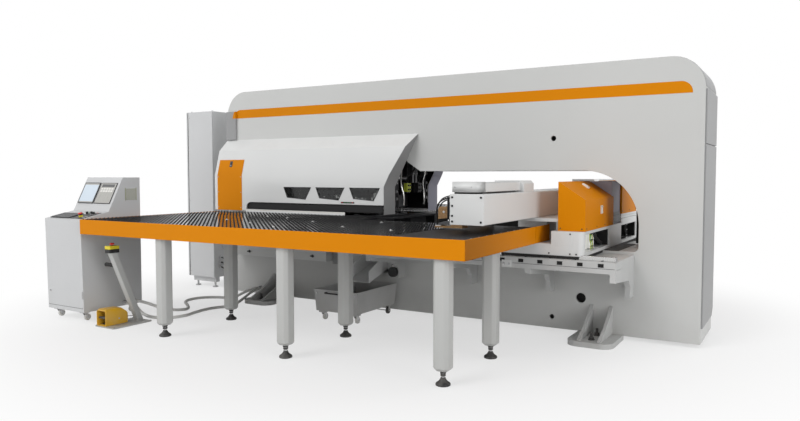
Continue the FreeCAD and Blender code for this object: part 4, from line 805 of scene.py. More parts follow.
# Each transfer is a chrome ball in a dished steel ring let into the table.
@drawPiece("machine", "ball_steel", 0, "ball_transfers")
def ballTransfers(shape):
    centres = {}
    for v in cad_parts["ball_transfers"].data.vertices:
        key = next((k for k in centres if (Vector(k) - Vector(v.co[:2])).length < 0.03), None)
        centres.setdefault(key or tuple(v.co[:2]), []).append(v.co.copy())
    ball = [(8 * math.cos(a), 915.8 + 8 * math.sin(a)) for a in (math.pi / 2 * k / 5 for k in range(6))]
    for spots in centres.values():
        x, y = ((min(s[axis] for s in spots) + max(s[axis] for s in spots)) / 2 / mm for axis in (0, 1))
        shape.turned([(13, 913.6), (13, 916), (11.5, 917), (8.4, 916.2), (8.4, 914.5)], (x, y, 0), "zinc")
        shape.turned(ball, (x, y, 0), "groundSteel")


plateScrews = {"left": 1215, "right": 1706, "pitch": 70, "outer": 2148, "inner": 968, "sidePitch": 118,
               "height": 912.4}


# Countersunk screws round the plain end of each table's plate.
@drawPiece("machine", "black_plastic", 0)
def tableScrews(shape):
    spots = [(plateScrews["left"] + plateScrews["pitch"] * k, plateScrews["outer"]) for k in range(7)]
    spots += [(plateScrews["right"], plateScrews["inner"] + plateScrews["sidePitch"] * k) for k in range(10)]
    spots = [(x, side * y, plateScrews["height"]) for side in (-1, 1) for x, y in spots]
    shape.studs([(6, 0), (6, 1.6), (5, 2.2), (2.6, 2.2), (2.4, 0.8)], spots, "brightBolt", sides=10)


print("sheet tables are fitted")


# casters
wheels = {"tyre": [(19, -11), (26, -12), (29.2, -9), (30, -4), (30, 4), (29.2, 9), (26, 12), (19, 11)],
          "hub": [(20, 10.5), (18, 8.5), (9, 8.5), (8, 12), (6, 12.2)],
          "nut": [(7.5, 11), (7.5, 15.4), (6, 16)],
          "height": 30, "cartXs": (-248.5, 101.5), "cartY": -405, "nodes": (
              "cart_left_wheel", "cart_right_wheel", "console_left_wheel", "console_right_wheel",
              "console_rear_wheel_left", "console_rear_wheel_right")}


# A crowned tyre on a stepped hub, about a line along x.
def casterWheel(shape, x, y, tyreFinish="nylonTyre"):
    at = (x, y, wheels["height"])
    shape.turned(wheels["tyre"], at, tyreFinish, xWay, 32)
    for side in (-1, 1):
        shape.turned(wheels["hub"], at, "zinc", (side, 0, 0))
        shape.turned(wheels["nut"], at, "brightBolt", (side, 0, 0), 6)


for node in wheels["nodes"]:
    low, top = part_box(node)
    shape = Shape()
    casterWheel(shape, (low.x + top.x) / 2 / mm, (low.y + top.y) / 2 / mm)
    shape.finish(node.replace("_", "-") + "-turned", node, "castor_tyre", 0.4, node)


@drawPiece("cart_rear_wheels", "castor_tyre", 0.4, "cart_rear_wheels")
def cartRearWheels(shape):
    y, z = wheels["cartY"], wheels["height"]
    for x, tyreFinish in zip(wheels["cartXs"], ("nylonTyre", "rubber")):
        casterWheel(shape, x, y, tyreFinish)
    shape.rod((-272, y, z), (122, y, z), 5, "zinc", 16)


print("casters are fitted")


# hoods: window gaskets, near-black liners as painted shade, glowing blocks as painted glints, latches, bay
# machinery
windows = {"spans": ((-1049, 334), (-645, 330), (-245, 329)), "feet": ((44, 1078), (-70, 1062)), "top": 1178,
           "bead": 8, "lip": 1.5, "face": 525, "crown": 527.6, "inside": 520.8}


# A black rubber bead round each trapezoid window.
@drawPiece("machine", "black_plastic", 0)
def windowGaskets(shape):
    face, crown, inside = (windows[key] for key in ("face", "crown", "inside"))
    (nearShift, nearFoot), (farShift, farFoot) = windows["feet"]
    for left, wide in windows["spans"]:
        inner = [(left + nearShift, nearFoot), (left + wide + farShift, farFoot),
                 (left + wide, windows["top"]), (left, windows["top"])]
        middle = Vector((sum(c[0] for c in inner) / 4, sum(c[1] for c in inner) / 4))
        outer, lip = ([Vector(c) + (Vector(c) - middle).normalized() * shift for c in inner]
                      for shift in (windows["bead"], -windows["lip"]))
        section = ((outer, face), (outer, face + 2), (inner, crown), (lip, face), (lip, inside),
                   (inner, inside), (outer, face))
        for side in (-1, 1):
            shape.loft([[(x, side * y, z) for x, z in ring] for ring, y in section], "rubber", caps=False)


hoodInside = {"left": -1556, "face": 511, "thick": 3, "end": 112, "slant": 0.51, "bend": 1190, "trimEnd": 131,
              "trimThick": 1.4, "back": 327, "slit": 948, "glintReach": 5.5, "section": (
                  (511, 1026), (511, 1190), (511, 1294), (444, 1549), (338, 1654)), "trimSection": (
                  (523.4, 934), (523.4, 1190), (523.4, 1300), (454, 1558), (336, 1670)), "glintBlocks": (
                  (-415, 1080, 13, 26), (-391, 1078, 9, 16), (-372, 1076, 16, 34), (-350, 1084, 10, 52),
                  (-338, 1110, 8, 30), (-190, 1072, 12, 20), (-158, 1070, 9, 13), (-120, 1070, 15, 18),
                  (-82, 1068, 10, 12), (-10, 1066, 14, 26), (16, 1072, 10, 60), (34, 1090, 12, 44),
                  (52, 1120, 8, 34), (-560, 1086, 10, 12))}


def hoodEnd(z, start):
    return start + max(0, z - hoodInside["bend"]) * hoodInside["slant"]


# Near-black sheets inside the hoods behind the windows and a black brush in each slit, which stand in for
# painted shade in the bay, with small glowing blocks just behind the glass as painted glints of tool tips.
@drawPiece("machine", "black_plastic", 0)
def hoodShadeLiners(shape):
    left, face, thick, end, reach = (hoodInside[key] for key in ("left", "face", "thick", "end", "glintReach"))
    for side in (-1, 1):
        loops = []
        for y, z in hoodInside["section"]:
            right = hoodEnd(z, end)
            loops.append([(left, side * y, z), (right, side * y, z), (right, side * (y - thick), z),
                          (left, side * (y - thick), z)])
        shape.loft(loops, "paintedShadeBlack")
        shape.block((left, side * (face - 4), hoodInside["slit"]), (end, side * face, 1027), "bristle")
        # blocks that glow as painted glints behind the glass
        for x, z, wide, high in hoodInside["glintBlocks"]:
            shape.block((x, side * face, z), (x + wide, side * (face + reach), z + high), "paintedGlintTip")


# The painted sheet that closes each hood's slanting right end, darker than the white hood as painted shade:
# dark grey at the front end, lilac grey at the rear.
@drawPiece("machine", "hood_white", 0)
def hoodTrims(shape):
    back, thick = hoodInside["back"], hoodInside["trimThick"]
    for side, finish in ((-1, "shadedEndPaint"), (1, "lilacAndShadePaint")):
        loops = []
        for y, z in hoodInside["trimSection"]:
            x = hoodEnd(z, hoodInside["trimEnd"])
            loops.append([(x, side * back, z), (x, side * y, z), (x + thick, side * y, z),
                          (x + thick, side * back, z)])
        shape.loft(loops, finish)


slots = {"left": -1568, "right": -306, "low": 912, "top": 931, "bristles": 946, "bundles": 180, "pitch": 7,
         "face": 528, "lamp": ((-349, -196), (1032, 1046)), "redXs": (-334, -214),
         "greenXs": (-300, -274, -248)}


# A pale wiper strip along each sheet slot, bristle bundles on it and a small lamp bar.
@drawPiece("machine", "hood_white", 0)
def slotDetails(shape):
    face = slots["face"]
    for side in (-1, 1):
        near, far = sorted((side * (face - 1), side * (face - 9)))
        shape.block((slots["left"], near, slots["low"]), (slots["right"], far, slots["top"]), "sheetPaint")
        for k in range(slots["bundles"]):
            x, high = slots["left"] + 4 + k * slots["pitch"], slots["bristles"] - 0.6 * (k % 3)
            shape.block((x, near + 1.6, slots["top"] - 1), (x + 6.4, far - 1.6, high), "whitePlastic")
        (left, right), (low, high) = slots["lamp"]
        shape.block((left, side * (face - 3), low), (right, side * face, high), "blackPlastic")
        for finish, profile, xs in (("redCap", [(5.5, 0), (5.5, 1.6), (3, 3)], slots["redXs"]),
                                    ("greenCap", [(4, 0), (4, 1), (2.4, 2)], slots["greenXs"])):
            shape.studs(profile, [(x, side * face, (low + high) / 2) for x in xs], finish, (0, side, 0), 14)


guard = {"latchX": -1795, "face": 528, "foot": 1301, "lean": (43, 160), "screwXs": (-1955, -1635),
         "screwZs": (960, 1120, 1280), "screw": [(4.5, 0), (4.5, 1.4), (3.4, 2.2)]}


# A recessed latch with a pull tab on each corner guard's sloping face, and the guard's screws.
@drawPiece("machine", "black_plastic", 0.5)
def guardLatches(shape):
    run, rise = guard["lean"]
    for side in (-1, 1):
        foot = (guard["latchX"], side * guard["face"], guard["foot"])
        shape.stand = slopeFrame(foot, (0, -side * run, rise), (0, side * rise, run))
        shape.block((-18, 86, -2), (18, 148, 2.4), "blackPlastic")
        shape.block((-14, 92, 2), (14, 142, 3.4), "greyPlastic")
        shape.block((-8, 112, 3), (8, 137, 8), "blackPlastic")
        shape.turned([(4, 0), (4, 2.2), (3, 3)], (0, 100, 2.8), "brightBolt", sides=facets["small"])
    shape.stand = Matrix.Identity(4)
    for side in (-1, 1):
        spots = product(guard["screwXs"], (side * guard["face"],), guard["screwZs"])
        shape.studs(guard["screw"], spots, "zinc", (0, side, 0), 10)


bay = {  # the pipes are (route at the rear side, radius, finish)
    "pipes": (([(150, 200, 1010), (158, 196, 1100), (120, 214, 1220), (150, 238, 1330), (130, 230, 1450),
                (150, 200, 1560)], 9, "groundSteel"),
              ([(110, 262, 990), (140, 258, 1080), (90, 270, 1200), (120, 280, 1340), (150, 262, 1560)],
               12, "rubber"),
              ([(60, 180, 1300), (150, 170, 1270), (196, 110, 1320), (204, 40, 1400), (160, 10, 1470),
                (110, 0, 1540)], 8, "rubber")),
    "plugYs": (88, 126), "stripY": 290, "stripZs": (1060, 1130, 1210, 1300, 1390, 1470),
    "pressureYs": (-62, -22, 22, 62), "switchYs": (-66, -22, 22, 66), "flangeBolts": 12, "flangeRadius": 150,
    "ramX": -65, "bandZs": (1262, 1500),
}


# Valve plugs, pressure pipes and a hose block round the ram.
@drawPiece("machine", "machined_steel", 0.8)
def bayMachinery(shape):
    for side in (-1, 1):
        shape.block((96, side * 64, 1128), (118, side * 156, 1232), "blackIron")
        for y in (side * v for v in bay["plugYs"]):  # two valve plugs on each bracket
            shape.block((118, y - 15, 1140), (158, y + 15, 1222), "limePlug" if side < 0 else "blackPlastic")
            shape.block((124, y - 9, 1128), (150, y + 9, 1141), "blackPlastic")
            ports = [(158, y, 1160), (158, y, 1200)]
            shape.studs([(8, 0), (8, 12), (5, 14)], ports, "blackPlastic", xWay, 10)
            shape.pipe([(138, y, 1222), (138, y, 1262), (178, y * 1.1, 1300), (186, y * 1.4, 1380),
                        (150, y * 1.6, 1460), (110, y * 1.7, 1560)], 5, "rubber")
        for route, radius, finish in bay["pipes"]:
            shape.pipe([(x, side * y, z) for x, y, z in route], radius, finish)
        y = side * bay["stripY"]
        shape.block((96, y - 10, 1040), (120, y + 10, 1500), "blackIron")
        for z in bay["stripZs"]:
            shape.block((119, y - 14, z), (134, y + 14, z + 26), "greyPlastic")
            shape.turned([(4, 0), (4, 5), (3, 6)], (134, y, z + 13), "brightBolt", xWay, 10)
    for y, z, shift in product((-30, 30), (1316, 1384), (-10, 10)):
        shape.bolt((164, y + shift, z), xWay, 4)
    for y in bay["pressureYs"]:  # pressure pipes with union nuts, up to the roof of the bay
        shape.rod((72, y, 1408), (72, y, 1558), 8, "groundSteel", 14)
        shape.turned([(13, 1410), (13, 1428), (11, 1430)], (72, y, 0), "zinc", sides=6)
        shape.turned([(13, 1538), (13, 1556), (11, 1560)], (72, y, 0), "zinc", sides=6)
    shape.block((96, -84, 1420), (122, 84, 1444), "greyPlastic")  # pressure switches on a bar
    spots = [(109, y, 1444) for y in bay["switchYs"]]
    shape.studs([(10, 0), (10, 26), (7, 30), (7, 44)], spots, "blackPlastic", sides=14)
    count = bay["flangeBolts"]
    ring = circle(bay["flangeRadius"], count, (bay["ramX"], 0), math.pi / count)
    shape.studs([(8, 0), (8, 9), (7, 10)], [(*spot, 1540) for spot in ring], "blackIron", (0, 0, -1), 6)
    for z in bay["bandZs"]:
        shape.turned([(122, z), (124, z + 2), (124, z + 20), (122, z + 22)], (bay["ramX"], 0, 0), "zinc")


shaker = {"x": 191, "z": 407, "radius": 46, "fins": 9, "pitch": 12}


# Turn latches on the skirts, a terminal box on each side and the chute's shaker motor.
@drawPiece("machine", "black_plastic", 1)
def skirtFittings(shape):
    for side in (-1, 1):
        for x in (-1562, -726):
            shape.turned([(15, 0), (15, 4), (12, 6)], (x, side * 485, 500), "blackPlastic", (0, side, 0))
            shape.block((x - 22, side * 490, 494), (x + 22, side * 499, 506), "blackPlastic")
        shape.block((-542, side * 325, 430), (-438, side * 392, 548), "castPaint")
        shape.block((-548, side * 392, 424), (-432, side * 396, 554), "shadedEndPaint")
        for x, z in product((-538, -442), (434, 544)):
            shape.bolt((x, side * 396, z), (0, side, 0), 3.5, "zinc")
    x, z = shaker["x"], shaker["z"]
    shape.block((150, -430, 352), (232, -325, 462), "castPaint")
    shape.rod((x, -330, z), (x, -478, z), shaker["radius"], "blackIron", 28)
    fin, spots = shaker["radius"] + 3, [(x, -352 - k * shaker["pitch"], z) for k in range(shaker["fins"])]
    shape.studs([(fin, 0), (fin, 4)], spots, "blackIron", (0, -1, 0), 28)
    shape.block((170, -452, 446), (214, -392, 474), "greyPlastic")
    shape.block((176, -456, 452), (208, -451, 468), "whitePlastic")


print("hoods are fitted")


# bridge: end bolts, drag chains, covers, latches, wiring
screws = {  # (radius, height) profiles of the machine's small screws
    "cover": [(5, 0), (5, 1.6), (4, 2.6)], "saddle": [(6, 0), (6, 3), (5, 4)],
    "socket": [(6, 0), (6, 3), (5, 4), (2.6, 4), (2.4, 2)],
    "beam": [(7, 0), (7, 4.5), (5.8, 5.6), (3, 5.6), (2.8, 3)], "nose": [(4.5, 0), (4.5, 2), (3.4, 3)],
    "cabinet": [(6, 0), (6, 2), (5, 3)],
}


# Bolts in the ends of the beam and the closed nose of each tray.
@drawPiece("bridge", "black_plastic", 0)
def beamEndBolts(shape):
    noses = ((1466, 1622, 1661.5, 1806, 1188, 1256, "sheetPaint"),
             (1478, 1612, 1640, 1798, 1176.5, 1189, "rubber"))
    for side in (-1, 1):
        way = (0, side, 0)
        spots = [(1468, z) for z in (997, 1034, 1099, 1155)] + [(1672, z) for z in (997, 1155)]
        shape.studs(screws["beam"], [(x, side * 1810, z) for x, z in spots], "blackIron", way, 14)
        for left, right, corner, end, low, top, finish in noses:
            shape.prism([(left, side * end), (right, side * end), (corner, side * 1716), (left, side * 1716)],
                        low, top, finish)
        shape.studs(screws["nose"], [(x, side * 1806, 1222) for x in (1484, 1604)], "zinc", way)


chain = {"start": 1106, "pitch": 35.5, "links": 17, "long": 31, "low": 1181.5, "lines": (
    (1530, 9), (1556, 12), (1586, 8), (1606, 7))}


# Drag chain with its hoses lying in each tray.
@drawPiece("bridge", "black_plastic", 0.8)
def trayChains(shape):
    low = chain["low"]
    for side in (-1, 1):
        for k in range(chain["links"]):
            y = side * (chain["start"] + k * chain["pitch"])
            near, far = sorted((y, y + side * chain["long"]))
            for x in (1500, 1622):
                shape.block((x, near, low), (x + 8, far, 1238), "blackPlastic")
            for z, top in ((low, 1186), (1231, 1236)):
                shape.block((1507, near + 4, z), (1623, near + 15, top), "blackPlastic")
            spots = [(x, y + side * 15, 1210) for x in (1498.6, 1630.2)]
            shape.studs([(9, 0), (9, 1.2)], spots, "greyPlastic", xWay, 14)
        near, far = sorted((side * 1086, side * 1700))
        for x, radius in chain["lines"]:
            shape.rod((x, near + 6, 1200), (x, far - 4, 1200), radius, "rubber", 12)


covers = {"left": 1870, "right": 2074, "base": 886, "eave": 1119, "top": 1251, "far": 861, "near": 20,
          "gap": 277, "plinth": 962, "latchY": -419, "slopeLatchY": -369}


# The slope of the near drive cover: down it, out of it, and how far the CAD latch reaches along and above it.
def coverSlope():
    wide, rise = covers["right"] - covers["left"], covers["top"] - covers["eave"]
    slope, out = Vector((wide, 0, -rise)).normalized(), Vector((rise, 0, wide)).normalized()
    spots = [v.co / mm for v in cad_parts["drive_covers"].data.vertices]
    spots = [Vector((s.x - covers["left"], 0, s.z - covers["top"])) for s in spots
             if 1900 < s.x < 1980 and 1150 < s.z < 1240]
    along = [s.dot(slope) for s in spots]
    return slope, out, min(along), max(along), max(s.dot(out) for s in spots)


# White over-centre latches on the near drive cover, and the covers' screws.
@drawPiece("bridge", "black_plastic", 0.6)
def coverLatches(shape):
    face, y = covers["right"], covers["latchY"]
    shape.block((face - 0.5, y - 17, 999), (face + 9.6, y + 17, 1063), "whitePlastic")
    shape.block((face + 9, y - 12, 1004), (face + 11.4, y + 12, 1046), "whitePlastic")
    shape.block((face + 10.6, y - 9, 1003), (face + 14, y + 9, 1014), "whitePlastic")
    shape.rod((face + 12, y - 15, 1054), (face + 12, y + 15, 1054), 3, "zinc", 10)
    slope, out, start, end, high = coverSlope()
    shape.stand = Matrix([(*slope, 0), (*yWay, 0), (*out, 0),
                          (covers["left"], covers["slopeLatchY"], covers["top"], 1)]).transposed()
    shape.block((start - 1, -17, -1), (end + 1, 17, high + 0.6), "whitePlastic")
    shape.block((start + 5, -12, high), (end - 12, 12, high + 3), "whitePlastic")
    shape.rod((end - 6, -15, high + 1.5), (end - 6, 15, high + 1.5), 3, "zinc", 10)
    shape.stand = Matrix.Identity(4)
    shape.studs(screws["cover"], [(face, -y, 905) for y in (60, 300, 540, 820)], "blackIron", xWay)
    shape.studs(screws["cover"], product((face,), (300, 570, 838), (985, 1228)), "blackIron", xWay)
    shape.studs(screws["cover"], [(x, -covers["far"], 905) for x in (1890, 2050)], "blackIron", (0, -1, 0))


saddle = {"end": 905, "skin": 2.5, "screws": (1460, 1820, 1978, 2024), "ties": (752, 800, 846),
          "hoses": ((((2020, 430, 863), (2024, 420, 820), (2036, 330, 770), (2030, 250, 752),
                      (2010, 170, 748)),
                     15),
                    (((2000, 380, 863), (2004, 370, 800), (1990, 330, 740), (1980, 320, 732)), 11)),
          "wires": ((548, 30), (566, -26), (590, 18), (610, -12))}


# End panels with their screws, the wiring clipped inside the pockets, a glowing plate as painted light in the
# near pocket, near-black linings as painted shade in the far one, and black rubber wiper lips underneath,
# which also paint the shade of the gap under the saddle.
@drawPiece("bridge", "hood_white", 0.6)
def saddleFittings(shape):
    end, outer = saddle["end"], saddle["end"] + saddle["skin"]
    for side in (-1, 1):
        way = (0, side, 0)
        shape.block((1446, side * end, 712), (1991, side * outer, 783), "sheetPaint")
        shape.block((1838, side * end, 783), (1991, side * outer, 880), "sheetPaint")
        spots = [(x, side * (outer - 0.1), 722) for x in saddle["screws"]]
        shape.studs(screws["socket"], spots, "blackIron", way)
        shape.turned(screws["saddle"], (1978, side * (outer - 0.1), 868), "blackIron", way, facets["small"])
        colours = ("limePlug", "limePlug", "greenCap", "limePlug") if side < 0 else ("rubber",) * 4
        for (y, lean), finish in zip(saddle["wires"], colours):
            shape.pipe([(2046, side * y, 732), (2050, side * (y + lean), 768), (2038, side * (y - lean), 812),
                        (2040, side * (y + lean * 0.4), 863)], 3.4, finish)
        for z in saddle["ties"]:
            shape.block((2038, side * 552, z), (2053, side * 598, z + 8), "blackPlastic")
        shape.block((1980, side * 600, 731.5), (2056, side * 552, 738), "zinc")
        for points, radius in saddle["hoses"]:
            shape.pipe([(x, side * y, z) for x, y, z in points], radius, "rubber")
        shape.block((1890, side * 151, 732), (2062, side * 168, 863), "rubber")
        # black rubber wiper lips, which also paint the shade of the gap under the saddle
        shape.block((1440, side * 899, 685), (2040, side * 904, 707), "rubber")
        shape.block((2062, side * 334, 685), (2069, side * 855, 707), "rubber")
    # a white plate in the near pocket that glows as painted light
    shape.block((2010, -843, 733), (2014, -400, 862), "paintedLightPlate")
    # painted shade: near-black sheets line the far pocket
    for low, high in (((1876, 152, 733), (1880, 843, 862)), ((1880, 152, 860), (2066, 843, 863.5)),
                      ((1880, 152, 731.5), (2050, 843, 734)), ((1880, 838, 734), (2064, 843.5, 861))):
        shape.block(low, high, "paintedShadeBlack")  # the far pocket is dark inside
    shape.block((2066, 148, 730), (2074.6, 262, 865), "sheetPaint")


# A sheet cover over each drive; the far one stands on a white plinth behind the drive's housing.
@drawPiece("bridge", "orange", 2, "drive_covers")
def driveCovers(shape):
    left, right, base, top, far, near, gap = (covers[key] for key in (
        "left", "right", "base", "top", "far", "near", "gap"))
    outline = [(left, base), (right, base), (right, covers["eave"]), (left, top)]
    shape.prism(outline, -far, -near, "orangePaint", 1)
    shape.block((left, gap, covers["plinth"]), (right, far, top), "orangePaint")
    for low, high, inset in ((base, 921, 0), (923, 942, 5), (944, 963, 2)):  # layered plinth
        shape.block((left, gap - 14, low), (right - inset, far + 42, high), "sheetPaint")
    shape.block((left + 4, 1 - near, base), (right - 16, gap - 1, top - 5), "lilacAndShadePaint")
    shape.block((2056, 0, 900), (2066, 240, 986), "greyPlastic")
    for z in (930, 960):
        shape.block((2064, 10, z), (2068, 230, z + 5), "blackPlastic")
    for side in (-1, 1):  # guards between the table's end and the saddle
        shape.block((1724, side * 933, 791), (1730, side * 625, 916), "orangePaint")


ledge = {"pockets": 13, "pocketPitch": 150, "pocketRight": 2185, "grooves": ((206, 1450), (1540, 2304)),
         "railBolts": 21, "railPitch": 100, "ledgeBolts": 11, "ledgePitch": 190}


# Bolt plates, clamp pockets and their groove filled near-black as painted shade, rail screws drawn near-black
# as painted shade of their counterbores, and shiny rail ends.
@drawPiece("machine", "machined_steel", 0.4)
def ledgeFittings(shape):
    for side in (-1, 1):
        shape.block((1455, side * 925, 596), (1532, side * 929, 652), "sheetPaint")
        # the clamp pockets are filled near-black as painted shade
        for k in range(ledge["pockets"]):
            x = ledge["pocketRight"] - ledge["pocketPitch"] * k
            shape.block((x + 1, side * 909, 641), (x + 41, side * 923, 667), "paintedShadeBlack")
        # a dark strip paints the shade of the groove
        for left, right in ledge["grooves"]:
            shape.block((left, side * 924, 631), (right, side * 925.6, 634), "blackIron")
        shape.block((1536, side * 899, 679.5), (2300, side * 922, 682), "castPaint")
        spots = [(x, side * 929, 624) for x in (1472, 1515)]
        shape.studs([(9, 0), (9, 7), (7.5, 8)], spots, "zinc", (0, side, 0), 6)
        # near-black rail screws paint the shade of their counterbores
        spots = [(270 + ledge["railPitch"] * k, side * 877.5, 713.4) for k in range(ledge["railBolts"])]
        shape.studs([(8, 0), (8, 1.2), (4, 1.2), (3.6, 0.4)], spots, "paintedShadeBlack")
        spots = [(310 + ledge["ledgePitch"] * k, side * 910, 680) for k in range(ledge["ledgeBolts"])]
        shape.studs([(7, 0), (7, 6), (6, 7), (3, 7), (2.8, 3)], spots, "blackIron")
        shape.block((2302, side * 857, 680), (2306, side * 898, 712), "zinc")


clamps = {"low": 1000, "high": 1074, "tip": 1182, "back": 1262, "heel": 1280, "half": 36,
          "middles": (-1425, -945), "cylinderX": 1334, "faceX": 1377.8,
          "screwYs": (-1660, -1540, -1310, -1185, -1065, -830, -760),
          "screwZs": (1024, 1128), "hoses": ((-30, 0, 0, 5.5), (-12, 14, 6, 4.5), (14, -6, 3, 5))}

# The bronze head over a clamp's upper jaw, which tilts with it.
for name, body, y in zip(("clampHeadFront", "clampHeadRear"), ("jaw_front", "jaw_rear"), clamps["middles"]):
    shape = Shape()
    tip, back, heel, low, high, half = (clamps[key] for key in ("tip", "back", "heel", "low", "high", "half"))
    shape.prism([(tip, low - 16), (heel, low - 4), (heel, low + 10), (back, high), (tip + 16, high),
                 (tip, high - 14)], y - half, y + half, "clampBronze", 1)
    spots = [(tip + 52, y + shift, high) for shift in (-22, 22)]
    shape.studs([(8, -0.5), (8, 5), (6.5, 6.5), (4, 6.5), (3.6, 3)], spots, "brightBolt", sides=14)
    shape.block((tip - 3, y - 20, low + 8), (tip + 1, y + 20, high - 22), "zinc")
    for side in (-1, 1):
        spot = (tip + 46, y + side * half, low + 36)
        shape.turned([(9, 0), (9, 3), (7, 4)], spot, "brightBolt", (0, side, 0), 14)
    shape.finish(name, body, "clamp_bronze", 1.2)


# Pressure pipes that reach over each clamp head to the lower jaw's union.
@drawPiece("carriage", "dark_steel", 0.4)
def clampPipes(shape):
    for y in clamps["middles"]:
        for shift, rise, reach, radius in clamps["hoses"]:
            at = y + shift
            shape.pipe([(1380, at, 1134 + rise), (1330, at - 22, 1146 + rise), (1250, at, 1136 + rise),
                        (1190, at, 1112 + rise), (1166 - reach, at, 1060), (1164 - reach, at, 990),
                        (1172, at, 938)], radius, "rubber")
        shape.turned([(10, 932), (10, 946), (8, 948)], (1172, y - 12, 0), "zinc", sides=6)
        shape.block((1162, y - 40, 925), (1204, y + 40, 942.5), "zinc")
        shape.block((1180, y - 33, 942), (1196, y + 33, 943), "rubber")


# Bands and unions on the clamp cylinders, screws of the carriage.
@drawPiece("carriage", "dark_steel", 0)
def clampFittings(shape):
    x = clamps["cylinderX"]
    for y in clamps["middles"]:
        for z in (1112, 1150):
            shape.turned([(24.6, z), (25.4, z + 2), (25.4, z + 12), (24.6, z + 14)], (x, y, 0), "zinc")
        shape.turned([(10, 0), (10, 9), (7, 11), (7, 20)], (x + 25, y, 1140), "zinc", xWay, facets["small"])
    shape.studs([(6, 0), (6, 3.4), (5, 4.4), (2.6, 4.4), (2.4, 2)],
                product((clamps["faceX"],), clamps["screwYs"], clamps["screwZs"]), "brightBolt", (-1, 0, 0))


print("bridge is fitted")


# operator console
console = {
    "deskFoot": (-2130, 908), "deskTop": (-1845, 966), "screenTop": (-1689, 1277),
    "screenLow": 76.5, "screenHigh": 288.8, "display": (-2488, -2263), "pad": (-2249, -2022), "rim": 9,
    "padRows": 6, "padColumns": 5, "keyRows": 5, "keyColumns": 13, "keys": (-2464, -2201, 34, 175),
    "buttons": {-2162: "greenCap", -2138: "keyGrey", -2114: "keyGrey", -2090: "yellowBox", -2066: "keyGrey",
                -2042: "redCap"},
    "knobs": ((-2145, 180.3), (-2095, 191.9), (-2050, 180.3)), "stopX": -2105, "stopShare": 0.3,
}


# The frame of a face that leans from one (y, z) corner up to another, a share of the way up it.
def consoleFrame(low, top, x=0.0, share=0.0, out=0.0):
    along = Vector((0, top[0] - low[0], top[1] - low[1]))
    normal = Vector((0, -along.z, along.y))
    return slopeFrame(Vector((x, *low)) + along * share + normal.normalized() * out, along, normal)


# A framed display on the left and a membrane key panel on the right of the leaning face.
@drawPiece("machine", "black_plastic", 0.5)
def consoleScreens(shape):
    shape.stand = consoleFrame(console["deskTop"], console["screenTop"])
    low, top, rim = console["screenLow"], console["screenHigh"], console["rim"]
    x0, x1 = console["display"]
    outer, inner = rectangle(x0, low, x1, top), rectangle(x0 + rim, low + rim, x1 - rim, top - rim)
    loops = ((outer, 7.6), (outer, 10), (inner, 10), (inner, 8.4))
    shape.loft([[(*spot, z) for spot in ring] for ring, z in loops], "greyPlastic")
    shape.block((*inner[0], 8), (*inner[2], 8.8), "screenBlue")
    shape.block((x0 + rim, top - rim - 14, 8.6), (*inner[2], 9.1), "keyGrey")  # the display's header bar
    shape.block((*inner[0], 8.6), (x1 - rim, low + rim + 9, 9.1), "keyGrey")
    x0, x1 = console["pad"]
    shape.block((x0 + 6, low + 6, 4.8), (x1 - 6, top - 6, 6.2), "keyGrey")
    wide, rise = (x1 - x0 - 44) / console["padColumns"], (top - low - 70) / console["padRows"]
    for row, column in product(range(console["padRows"]), range(console["padColumns"])):
        x, y = x0 + 22 + column * wide, low + 20 + row * rise
        finish = "whitePlastic" if row > 3 else "keyGrey"
        shape.block((x + 3, y + 3, 6), (x + wide - 3, y + rise - 3, 7), finish)
    shape.block((x0 + 24, top - 44, 6), (x1 - 24, top - 16, 6.9), "greyPlastic")
    spots = product((x0 + 12, x1 - 12), (low + 12, top - 12), (6.1,))
    shape.studs([(3, 0), (3, 1.2), (2.2, 1.8)], spots, "zinc", sides=10)


# Keyboard, button row, knobs and the pulse ball on the sloping desk, and a ball handle at its side.
@drawPiece("machine", "black_plastic", 0.4)
def consoleDesk(shape):
    shape.stand = consoleFrame(console["deskFoot"], console["deskTop"])
    left, right, near, far = console["keys"]
    wide, rise = (right - left) / console["keyColumns"], (far - near) / console["keyRows"]
    for row, column in product(range(console["keyRows"]), range(console["keyColumns"])):
        if row == 0 and 3 < column < 9:
            continue
        x, y = left + column * wide, near + row * rise
        shape.loft([[(*spot, z) for spot in rectangle(x + inset, y + inset + 0.5, x + wide - inset,
                                                      y + rise - inset - 0.5)]
                    for inset, z in ((1.5, 7.8), (3.5, 12))], "greyPlastic")
    shape.block((left + 4 * wide, near + 2, 7.8), (left + 9 * wide, near + rise - 3, 11.5), "greyPlastic")
    for x, finish in console["buttons"].items():
        shape.turned([(9, 2.6), (9, 6), (7.5, 7)], (x, 214, 0), "zinc", sides=18)
        shape.turned([(6.5, 6), (6.5, 9), (5.5, 10)], (x, 214, 0), finish, sides=18)
    for x, y in console["knobs"]:
        shape.turned([(15, 2.8), (15, 4.2), (13.5, 5)], (x, y, 0), "zinc", sides=24)
        shape.turned([(11.6, 4.5), (11.2, 17), (10, 22.8), (3, 23.4)], (x, y, 0), "blackPlastic", sides=18)
        shape.block((x - 1.6, y + 1, 22), (x + 1.6, y + 9.5, 24.2), "whitePlastic")
    for x, y in product((-2048, -2028), (64, 96)):
        shape.turned([(7.5, 2.6), (7.5, 5), (6.5, 6)], (x, y, 0), "zinc", sides=16)
        shape.turned([(5, 5), (5, 8), (4, 9)], (x, y, 0), "keyGrey", sides=16)
    shape.turned([(18.6, 2.8), (18.6, 17), (16, 18.6), (9, 18.6), (9, 16)], (-2105, 87.2, 0), "yellowBox")
    shape.stand = Matrix.Identity(4)
    shape.turned([(16, -0.2), (16, 4), (12, 7), (6.5, 9), (6.5, 18), (11, 22), (14.4, 27), (14.6, 31),
                  (12, 35), (5, 36.6)], (-1990, -1868, 872), "blackPlastic", xWay)


